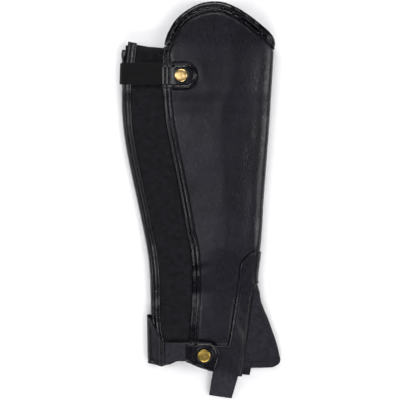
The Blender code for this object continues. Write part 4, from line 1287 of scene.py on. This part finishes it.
def make_low_strap():
    """The elastic middle of the lower strap."""
    x, low, high = np.array(LOW_STRAP).T
    at = np.linspace(x[0], x[-1], 40)
    low, high = curve(x, low)(at), curve(x, high)(at)
    y = low + (high - low) * np.linspace(0, 1, 36)[:, None]
    x = np.broadcast_to(at[None], y.shape)
    edge = np.minimum(y - low, high - y)
    hem = -0.3 * bump_at(y - low, 4.2, 0.5) + 0.12 * bump_at(y - low, 2.2, 1.6)
    top = (LOW_STRAP_RISE + hem - 0.35 * np.exp(-edge / 0.5)) * MM + ELASTIC
    grid = from_x(x, y)
    face = sheet_of(grid, top, LOW_STRAP_RISE * MM)
    piece = cloth("ankle_strap", LOOKS["webbing_pale"], [face])
    dress(piece, "elastic_webbing", "low_strap")
    cut_from(piece, grid, rests_on=["leather_panel"])


def turned(name, look, outline, x, y, rise, sides=56):
    """A turned piece from (radius, height) pairs in millimetres, standing on the cloth."""
    bm = bmesh.new()
    line = [bm.verts.new((r * MM, 0, h * MM)) for r, h in outline]
    edges = [bm.edges.new(pair) for pair in zip(line, line[1:])]
    bmesh.ops.spin(
        bm, geom=line + edges, cent=(0, 0, 0), axis=(0, 0, 1), angle=2 * math.pi, steps=sides,
        use_merge=True,
    )
    bmesh.ops.remove_doubles(bm, verts=bm.verts, dist=0.002 * MM)
    a, y = round_at(x * MM, y * MM), y * MM
    ahead, behind = lay(a, y + 4 * MM, 0.0), lay(a, y - 4 * MM, 0.0)
    front, back = lay(a - 4 * MM, y, 0.0), lay(a + 4 * MM, y, 0.0)
    up = Vector(front - back).cross(Vector(ahead - behind)).normalized()
    turn = Vector((0, 0, 1)).rotation_difference(up).to_matrix().to_4x4()
    turn.translation = Vector(lay(a, y, rise))
    bm.transform(turn)
    mesh = bpy.data.meshes.new(name)
    bm.to_mesh(mesh)
    bm.free()
    return finished(name, mesh, look, sharp=45)


CAP = (
    (0.0, 0.0), (6.6, 0.0), (7.2, 0.05), (7.5, 0.3), (7.6, 0.7), (7.5, 1.15), (7.15, 1.5),
    (6.5, 1.78), (5.5, 1.98), (4.2, 2.12), (2.4, 2.19), (0.0, 2.2),
)
STUD = ((0.0, 0.0), (5.0, 0.0), (5.1, 0.15), (5.0, 0.4), (4.2, 0.7), (3.9, 1.0))
STUD_FOOT, STUD_CLEAR = 0.6, 0.3     # under the stud, and between it and its tab


def make_press_studs():
    """The brass caps on the tabs, and the studs on the panel under them."""
    # The lower cap takes the darker copy of the brass, which is painted shade
    for prefix, look, snap in (("top", "brass", TOP_SNAP), ("lower", "worn_brass", LOW_SNAP)):
        x, y, rise = snap
        cap = turned(prefix + "_cap", LOOKS[look], CAP, x, y, rise * MM + LEATHER + GAP)
        dress(cap, "brass", prefix + "_snap_cap")
        high = rise - STUD_CLEAR - STUD_FOOT
        outline = [*STUD, (3.9, high - 0.3), (3.5, high), (0.0, high)]
        stud = turned(prefix + "_stud", LOOKS["stud"], outline, x, y, STUD_FOOT * MM, sides=32)
        dress(stud, "stud_metal", prefix + "_snap_stud")


# The loop's edges as seen from above, and its way as (share along them, height) pairs
STIRRUP_REAR, STIRRUP_FRONT = ((18.0, -184.0), (10.8, -228.1)), ((48.0, -194.5), (37.1, -232.1))
STIRRUP_WAY = (
    (0.0, 1.0), (0.15, 1.0), (0.3, 0.98), (0.45, 0.88), (0.6, 0.72), (0.75, 0.52), (0.88, 0.33),
    (0.96, 0.2), (0.995, 0.07), (1.0, -0.06), (0.99, -0.2), (0.96, -0.33), (0.9, -0.42),
    (0.8, -0.445), (0.66, -0.445), (0.54, -0.4), (0.44, -0.2), (0.36, -0.04), (0.28, 0.0),
    (0.05, 0.0),
)
STIRRUP_RISE = 9.0 * MM


def tube_z(x, y, d, side=0):
    """Height of the cloth's face moved by d, without its creases, at x and y in millimetres."""
    at = np.array([abs(round_at(x * MM, y * MM, side))])
    _, z, nx, nz = on_chart(side, at, np.array([y * MM]))[0]
    return z + d * nz / math.hypot(nx, nz)


def make_stirrup():
    """The elastic under the boot: a loop from the outer side's lower edge to the inner side's."""
    head_y = STIRRUP_REAR[0][1]
    ceiling = min(tube_z(x, head_y, -LEATHER) for x in (18, 33, 48))
    high = ceiling - UNDER - ELASTIC / 2
    low = tube_z(33, head_y, -LEATHER, 1) + UNDER + ELASTIC / 2
    share, tall = smoothed(STIRRUP_WAY, 150).T
    z = low + np.where(tall > 0, tall * (high - low), tall * STIRRUP_RISE)
    length = math.dist(*STIRRUP_REAR) * MM
    line = np.column_stack([share * length, z])
    along = np.gradient(line, axis=0)
    along /= np.linalg.norm(along, axis=1)[:, None]
    width = np.linspace(0, 1, 28)
    faces = []
    for side in (1, -1):
        edge = 1 - 0.25 * np.exp(-np.minimum(width, 1 - width) / 0.02)
        half = side * ELASTIC / 2 * edge[None]
        s = share[:, None] - half * along[:, 1, None] / length
        rear, front = (
            ends[0] + (ends[1] - ends[0]) * s[..., None]
            for ends in (np.array(STIRRUP_REAR), np.array(STIRRUP_FRONT))
        )
        flat = (rear + (front - rear) * width[None, :, None]) * MM
        faces.append(np.dstack([flat, z[:, None] + half * along[:, 0, None]]))
    wide = math.dist(STIRRUP_REAR[0], STIRRUP_FRONT[0]) * MM
    uv = np.stack(np.broadcast_arrays(width[None] * wide, run_of(line)[:, None]), -1)
    piece = cloth("stirrup_loop", LOOKS["webbing_pale"], [(uv, *faces)])
    dress(piece, "elastic_webbing", "stirrup_elastic")
    cut_from(piece, uv, rests_on=["leather_panel", "ground"])


# ------------------------------------------------------------------ stitching


@cache
def path_tree():
    """Small rounded bodies set along edges, lying on the surface that the edges came from."""
    tree = bpy.data.node_groups.new("Bodies along a path", "GeometryNodeTree")
    tree.interface.new_socket("Geometry", in_out="OUTPUT", socket_type="NodeSocketGeometry")
    sockets = {}
    for kind, names in (
        ("Geometry", ["Geometry"]),
        ("Float", ["Spacing", "Length", "Width", "Height", "Unevenness"]),
        ("Int", ["Seed"]), ("Material", ["Material"]),
    ):
        for name in names:
            made = tree.interface.new_socket(name, in_out="INPUT", socket_type="NodeSocket" + kind)
            sockets[name] = made.identifier
    given = add(tree, "NodeGroupInput").outputs
    line = add(tree, "GeometryNodeMeshToCurve", {"Mesh": given["Geometry"]}).outputs[0]
    every = {"Curve": line, "Length": given["Spacing"]}
    points = add(tree, "GeometryNodeCurveToPoints", every, mode="LENGTH").outputs
    up = add(tree, "GeometryNodeInputNamedAttribute", {"Name": "up"}, data_type="FLOAT_VECTOR")
    turn = add(tree, "FunctionNodeAlignRotationToVector", {"Vector": up.outputs[0]}, axis="Z")
    ahead = {"Rotation": turn.outputs[0], "Vector": points["Tangent"]}
    turn = add(tree, "FunctionNodeAlignRotationToVector", ahead, axis="X", pivot_axis="Z")
    least = {0: given["Unevenness"], 1: -1.0}
    least = add(tree, "ShaderNodeMath", least, operation="MULTIPLY").outputs[0]
    limits = {2: least, 3: given["Unevenness"], "Seed": given["Seed"]}
    random = add(tree, "FunctionNodeRandomValue", limits, data_type="FLOAT").outputs[1]
    swing = add(tree, "ShaderNodeCombineXYZ", {"Z": random}).outputs[0]
    swing = {"Rotation": turn.outputs[0], "Rotate By": swing}
    turn = add(tree, "FunctionNodeRotateRotation", swing, rotation_space="LOCAL").outputs[0]
    ball = {"Segments": 8, "Rings": 6, "Radius": 0.5}
    ball = add(tree, "GeometryNodeMeshUVSphere", ball).outputs[0]
    size = {"X": given["Length"], "Y": given["Width"], "Z": given["Height"]}
    size = add(tree, "ShaderNodeCombineXYZ", size).outputs[0]
    body = add(tree, "GeometryNodeTransform", {"Geometry": ball, "Scale": size}).outputs[0]
    body = add(tree, "GeometryNodeSetShadeSmooth", {"Geometry": body}).outputs[0]
    placed = {"Points": points["Points"], "Instance": body, "Rotation": turn}
    placed = add(tree, "GeometryNodeInstanceOnPoints", placed).outputs[0]
    real = add(tree, "GeometryNodeRealizeInstances", {"Geometry": placed}).outputs[0]
    painted = {"Geometry": real, "Material": given["Material"]}
    painted = add(tree, "GeometryNodeSetMaterial", painted).outputs[0]
    add(tree, "NodeGroupOutput", {"Geometry": painted})
    return tree, sockets


def along_paths(name, paths, sizes, look, unevenness, seed=3):
    """Bodies along (a, y, d) paths as one plain mesh."""
    tree, sockets = path_tree()
    points, ups, edges = [], [], []
    for a, y, d in paths:
        a, y, d = np.broadcast_arrays(a, y, d)
        face, above = lay(a, y, d), lay(a, y, d + MM)
        edges += [(len(points) + k, len(points) + k + 1) for k in range(len(a) - 1)]
        points += face.tolist()
        ups += ((above - face) / MM).tolist()
    mesh = bpy.data.meshes.new(name + "_paths")
    mesh.from_pydata(points, edges, [])
    kept = mesh.attributes.new("up", "FLOAT_VECTOR", "POINT")
    kept.data.foreach_set("vector", np.array(ups).ravel())
    source = linked(name + "_paths", mesh)
    modifier = source.modifiers.new("Bodies along a path", "NODES")
    modifier.node_group = tree
    for key, value in {**sizes, "Unevenness": unevenness, "Seed": seed, "Material": look}.items():
        modifier[sockets[key]] = value
    evaluated = source.evaluated_get(bpy.context.evaluated_depsgraph_get())
    plain = bpy.data.meshes.new_from_object(evaluated)
    plain.name = name
    if not plain.materials:
        plain.materials.append(look)
    bpy.data.objects.remove(source)
    return linked(name, plain)


def inset(line, distance):
    """A line of (a, y) points moved sideways, to its left, by a distance."""
    line = np.array(line)
    tangent = np.gradient(line, axis=0)
    normal = np.column_stack([-tangent[:, 1], tangent[:, 0]])
    return line + distance * normal / np.linalg.norm(normal, axis=1)[:, None]


def level_row(y, start, end, d):
    """A stitch row straight across, between two distances round."""
    return np.linspace(float(start), float(end), 30), np.full(30, y), d


def seam_rows():
    """Every row of stitches that shows, as (a, y, d) paths."""
    rows = []
    for edge, top_y, ridges, sewn in (
        (front_edge, 175, FRONT_RIDGES, FRONT_SEWN), (strip_edge, 180, BACK_RIDGES, BACK_SEWN),
    ):
        y = np.arange(-174, top_y, 2.0) * MM
        for offset in sewn:
            rows.append((edge(y) + offset * MM, y, ridged(ridges, offset * MM) - 0.02 * MM))
    points, inward, shares, _ = binding_edge()
    wide, high = binding_factors(shares)
    for depth in LEDGE_SEWN:
        line = points + inward * (depth * wide * MM)[:, None]
        rise = 0.4 + (np.interp(depth, *np.array(BINDING_FACE)[4:].T) - 0.4) * high
        keep = slice(4, -4)
        rows.append((line[keep, 0], line[keep, 1], rise[keep] * MM + 0.1 * MM))
    for y in np.array(HEM_ROWS) * MM:
        rows.append(level_row(y, panel_seam(y) + 5.5 * MM, strip_edge(y) - 11 * MM, -0.1 * MM))
    for y in np.array(GORE_HEM_ROWS) * MM:
        for side, way in ((0, 1), (1, -1)):
            rows.append(level_row(y, way * 5 * MM, slit(y, side) - way * 1.5 * MM, 0.1 * MM))
    on_overlay = UNDER + OVERLAY - 0.22 * MM
    for side in (0, 1):
        way = 1 if side == 0 else -1
        back = inset(overlay_edge(side), -SEWN_IN * MM * way)[4:]
        back = back[back[:, 1] > (OVERLAY_STEP - 3 * MM if side == 0 else -196 * MM)]
        rows.append((back[:, 0], back[:, 1], on_overlay))
        gore = inset(gore_edge(side), SEWN_IN * MM * way)[6:-8]
        rows.append((gore[:, 0], gore[:, 1], on_overlay))
    return rows + tab_rows() + strap_rows()


def tab_rows():
    """Stitches round each tab, and across it where the elastic is sewn in."""
    rows = []
    for outline, rise, ridges in (
        (top_tab_outline(), TAB_RISE, TOP_TAB_RIDGES),
        (low_tab_outline(), LOW_TAB_RISE, LOW_TAB_RIDGES),
    ):
        line = inset(rim_of(outline, 160), SEWN_IN)
        line = line[line[:, 0] > ridges[-1] + 1.5]
        across = np.linspace(outline[0, 1] + 2.5, outline[0, 2] - 2.5, 24)
        across = np.column_stack([np.full(24, sum(ridges) / 2), across])
        for path, lifted in ((line, LEATHER - 0.3 * MM), (across, LEATHER + 0.05 * MM)):
            rows.append((*from_x(*path.T).T, rises(rise, path[:, 0]) + lifted))
    return rows


def strap_rows():
    """Stitches across the end of the heel leather."""
    rows = []
    end_b = heel_stations()[-1, 0]
    for off, top in ((4.6, -168), (8.6, -163)):
        y = np.linspace(-190, top, 24)
        b = np.full(24, end_b - off)
        rows.append((from_back(b * MM, y * MM), y * MM, rises(HEEL_STRAP, b) + HEEL - 0.2 * MM))
    return rows


def make_stitching(props):
    """Every row of stitches as one piece, each stitch leaning a little its own way."""
    sizes = {
        "Spacing": props.stitch_length + props.stitch_gap, "Length": props.stitch_length,
        "Width": props.thread_width, "Height": 0.8 * props.thread_width,
    }
    lean = math.radians(7)
    piece = along_paths("stitching", seam_rows(), sizes, LOOKS["thread"], lean, props.stitch_seed)
    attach(piece, "root")


# ------------------------------------------------------------------ stage, lights, camera

VIEW_SIDE = 0.468            # what the picture shows across, at the height of the cloth
LENS_MM, SENSOR_MM = 300, 36
CAMERA_LEVEL = 14 * MM


def area_light(name, place, size, power, tint=(1, 1, 1)):
    light = bpy.data.lights.new(name, "AREA")
    light.shape, light.size, light.size_y = "RECTANGLE", *size
    light.energy, light.color = power, tint
    made = linked(name, light)
    made.location = place
    made.rotation_euler = (-Vector(place)).to_track_quat("-Z", "Y").to_euler()


def make_stage(props):
    """A pale floor, soft studio light and the camera straight above."""
    look, tree, shader = material("White studio paper", Roughness=0.95)
    where = add(tree, "ShaderNodeTexCoord").outputs["Object"]
    fibres = add(tree, "ShaderNodeTexNoise", {"Vector": where, "Scale": 60.0, "Detail": 3.0})
    finish(tree, shader, (fibres.outputs["Fac"], "#f4f4f5", "#fafafa"))
    mesh = bpy.data.meshes.new("studio_floor")
    reach, ground = 4.0, BOX[0].z - 0.2 * MM
    corners = [(x * reach, y * reach, ground) for x, y in ((-1, -1), (1, -1), (1, 1), (-1, 1))]
    mesh.from_pydata(corners, [], [(0, 1, 2, 3)])
    mesh.materials.append(look)
    linked("studio_floor", mesh)
    area_light("Sky panel", (-1.2, 0.15, 4.2), (0.7, 2.2), props.sky_power, (0.92, 0.91, 1.0))
    area_light("Right strip", (1.45, 0.1, 1.4), (0.3, 1.8), props.strip_power)
    area_light("Left panel", (-1.5, 0.2, 1.25), (0.4, 1.5), props.side_power)
    area_light("Foot panel", (0.1, -1.05, 0.75), (1.2, 0.3), props.end_power)
    area_light("Knee panel", (-0.1, 1.15, 0.75), (1.2, 0.3), props.end_power)
    world = bpy.data.worlds.new("Soft studio")
    world.use_nodes = True
    sky = world.node_tree.nodes["Background"]
    sky.inputs["Color"].default_value = (0.92, 0.91, 1, 1)
    where = add(world.node_tree, "ShaderNodeTexCoord").outputs["Generated"]
    up = add(world.node_tree, "ShaderNodeSeparateXYZ", {0: where}).outputs["Z"]
    glow = {0: up, 1: 0.55, 2: 0.97, 3: 0.1 * props.room_light, 4: props.room_light}
    glow = add(world.node_tree, "ShaderNodeMapRange", glow).outputs[0]
    world.node_tree.links.new(glow, sky.inputs["Strength"])
    bpy.context.scene.world = world
    bpy.context.scene.view_settings.view_transform = "Standard"
    camera = linked("Camera", bpy.data.cameras.new("Camera"))
    camera.data.lens, camera.data.sensor_width = LENS_MM, SENSOR_MM
    camera.location = (0, 0, CAMERA_LEVEL + VIEW_SIDE * LENS_MM / SENSOR_MM)
    camera.data.clip_end = 20
    bpy.context.scene.camera = camera


# ------------------------------------------------------------------ the add-on


def length(name, description, default, least=0.2 * MM):
    """A size that a user can change, in metres."""
    return FloatProperty(
        name=name, description=description, default=default, min=least, subtype="DISTANCE",
        unit="LENGTH",
    )


def power(name, description, default):
    """A light's power that a user can change, in watts."""
    return FloatProperty(
        name=name, description=description, default=default, min=0, unit="POWER"
    )


def factor(name, description, default, least=0.0):
    """A share that a user can change, up to 1."""
    return FloatProperty(
        name=name, description=description, default=default, min=least, max=1, subtype="FACTOR"
    )


class HALFCHAP_PG_sizes(bpy.types.PropertyGroup):
    """Sizes and finishes that a user would change."""

    rib_pitch: length("Rib pitch", "From one rib of the elastic to the next", 2.1 * MM, MM)
    stitch_length: length("Stitch length", "Thread that shows in each stitch", 2.3 * MM, MM)
    stitch_gap: length("Stitch gap", "Leather between two stitches", 0.8 * MM)
    thread_width: length("Thread width", "Width of the sewing thread", 0.75 * MM)
    stitch_seed: IntProperty(
        name="Stitch seed", description="Which way each stitch leans", default=5
    )
    tooth_pitch: length(
        "Tooth pitch", "From one turn of the zip's coil to the next", 1.3 * MM, 0.5 * MM
    )
    leather_roughness: factor("Leather roughness", "How dull the leather is", 0.32, 0.1)
    sky_power: power("Sky light", "Power of the panel overhead", 15.5)
    strip_power: power("Strip light", "Power of the light that edges the shin", 17)
    side_power: power("Side light", "Power of the light beyond the zip", 11)
    end_power: power("End lights", "Power of the lights beyond the knee and the foot", 13)
    room_light: factor("Room light", "Strength of the light from above", 0.16)


class HALFCHAP_OT_materials(bpy.types.Operator):
    """Make the leather, elastic, thread, zip and brass materials"""

    bl_idname = "half_chap.materials"
    bl_label = "Materials"

    def execute(self, context):
        make_looks(context.scene.half_chap)
        return {"FINISHED"}


class HALFCHAP_OT_panels(bpy.types.Operator):
    """Make the main panel, the stretch panel and the instep gore"""

    bl_idname = "half_chap.panels"
    bl_label = "Panels"

    def execute(self, context):
        make_main_panel()
        make_stretch_panel(context.scene.half_chap)
        make_gore(context.scene.half_chap)
        return {"FINISHED"}


class HALFCHAP_OT_overlay(bpy.types.Operator):
    """Make the ankle overlay"""

    bl_idname = "half_chap.overlay"
    bl_label = "Ankle overlay"

    def execute(self, context):
        make_overlay()
        return {"FINISHED"}


class HALFCHAP_OT_trim(bpy.types.Operator):
    """Make the front and back strips and the top binding"""

    bl_idname = "half_chap.trim"
    bl_label = "Strips and binding"

    def execute(self, context):
        props = context.scene.half_chap
        stitch = props.stitch_length + props.stitch_gap
        front = FRONT_RIDGES, FRONT_SEWN, front_edge, FRONT_TOP, 0.0
        back = BACK_RIDGES, BACK_SEWN, strip_edge, BACK_TOP, 0.2
        make_strip("front_welt", "front_strip", *front, stitch)
        make_strip("back_welt", "back_strip", *back, stitch)
        make_binding()
        return {"FINISHED"}


class HALFCHAP_OT_zip(bpy.types.Operator):
    """Make the zip's tapes, chain and slider"""

    bl_idname = "half_chap.zip"
    bl_label = "Zip"

    def execute(self, context):
        make_zip_tapes()
        make_zip_chain(context.scene.half_chap)
        make_slider()
        return {"FINISHED"}


class HALFCHAP_OT_straps(bpy.types.Operator):
    """Make both straps, their tabs and the stirrup elastic"""

    bl_idname = "half_chap.straps"
    bl_label = "Straps"

    def execute(self, context):
        make_top_strap()
        make_heel_strap()
        make_low_strap()
        top = top_tab_outline(), TAB_RISE, TOP_TAB_RIDGES, TOP_SNAP
        low = low_tab_outline(), LOW_TAB_RISE, LOW_TAB_RIDGES, LOW_SNAP
        make_tab("calf_tab", "top_tab", *top)
        make_tab("ankle_tab", "lower_tab", *low)
        make_stirrup()
        return {"FINISHED"}


class HALFCHAP_OT_press_studs(bpy.types.Operator):
    """Make the brass caps and studs"""

    bl_idname = "half_chap.press_studs"
    bl_label = "Press studs"

    def execute(self, context):
        make_press_studs()
        return {"FINISHED"}


class HALFCHAP_OT_stitching(bpy.types.Operator):
    """Make every row of stitches"""

    bl_idname = "half_chap.stitching"
    bl_label = "Stitching"

    def execute(self, context):
        make_stitching(context.scene.half_chap)
        return {"FINISHED"}


class HALFCHAP_OT_stage(bpy.types.Operator):
    """Make the floor, the lights and the camera"""

    bl_idname = "half_chap.stage"
    bl_label = "Stage"

    def execute(self, context):
        make_stage(context.scene.half_chap)
        return {"FINISHED"}


OPERATORS = (
    HALFCHAP_OT_stage, HALFCHAP_OT_materials, HALFCHAP_OT_panels, HALFCHAP_OT_overlay,
    HALFCHAP_OT_trim, HALFCHAP_OT_zip, HALFCHAP_OT_straps, HALFCHAP_OT_press_studs,
    HALFCHAP_OT_stitching,
)


class HALFCHAP_PT_panel(bpy.types.Panel):
    """Lists the half chap's sizes and its pieces"""

    bl_label = "Half Chap"
    bl_idname = "HALFCHAP_PT_panel"
    bl_space_type = "VIEW_3D"
    bl_region_type = "UI"
    bl_category = "Half Chap"

    def draw(self, context):
        for name in HALFCHAP_PG_sizes.__annotations__:
            self.layout.prop(context.scene.half_chap, name)
        for operator in OPERATORS:
            self.layout.operator(operator.bl_idname)


CLASSES = (HALFCHAP_PG_sizes, *OPERATORS, HALFCHAP_PT_panel)


def register():
    for each in CLASSES:
        bpy.utils.register_class(each)
    bpy.types.Scene.half_chap = PointerProperty(type=HALFCHAP_PG_sizes)


def unregister():
    del bpy.types.Scene.half_chap
    for each in reversed(CLASSES):
        bpy.utils.unregister_class(each)


def main():
    register()
    for operator in OPERATORS:
        category, name = operator.bl_idname.split(".")
        getattr(getattr(bpy.ops, category), name)()


if __name__ == "__main__":
    main()
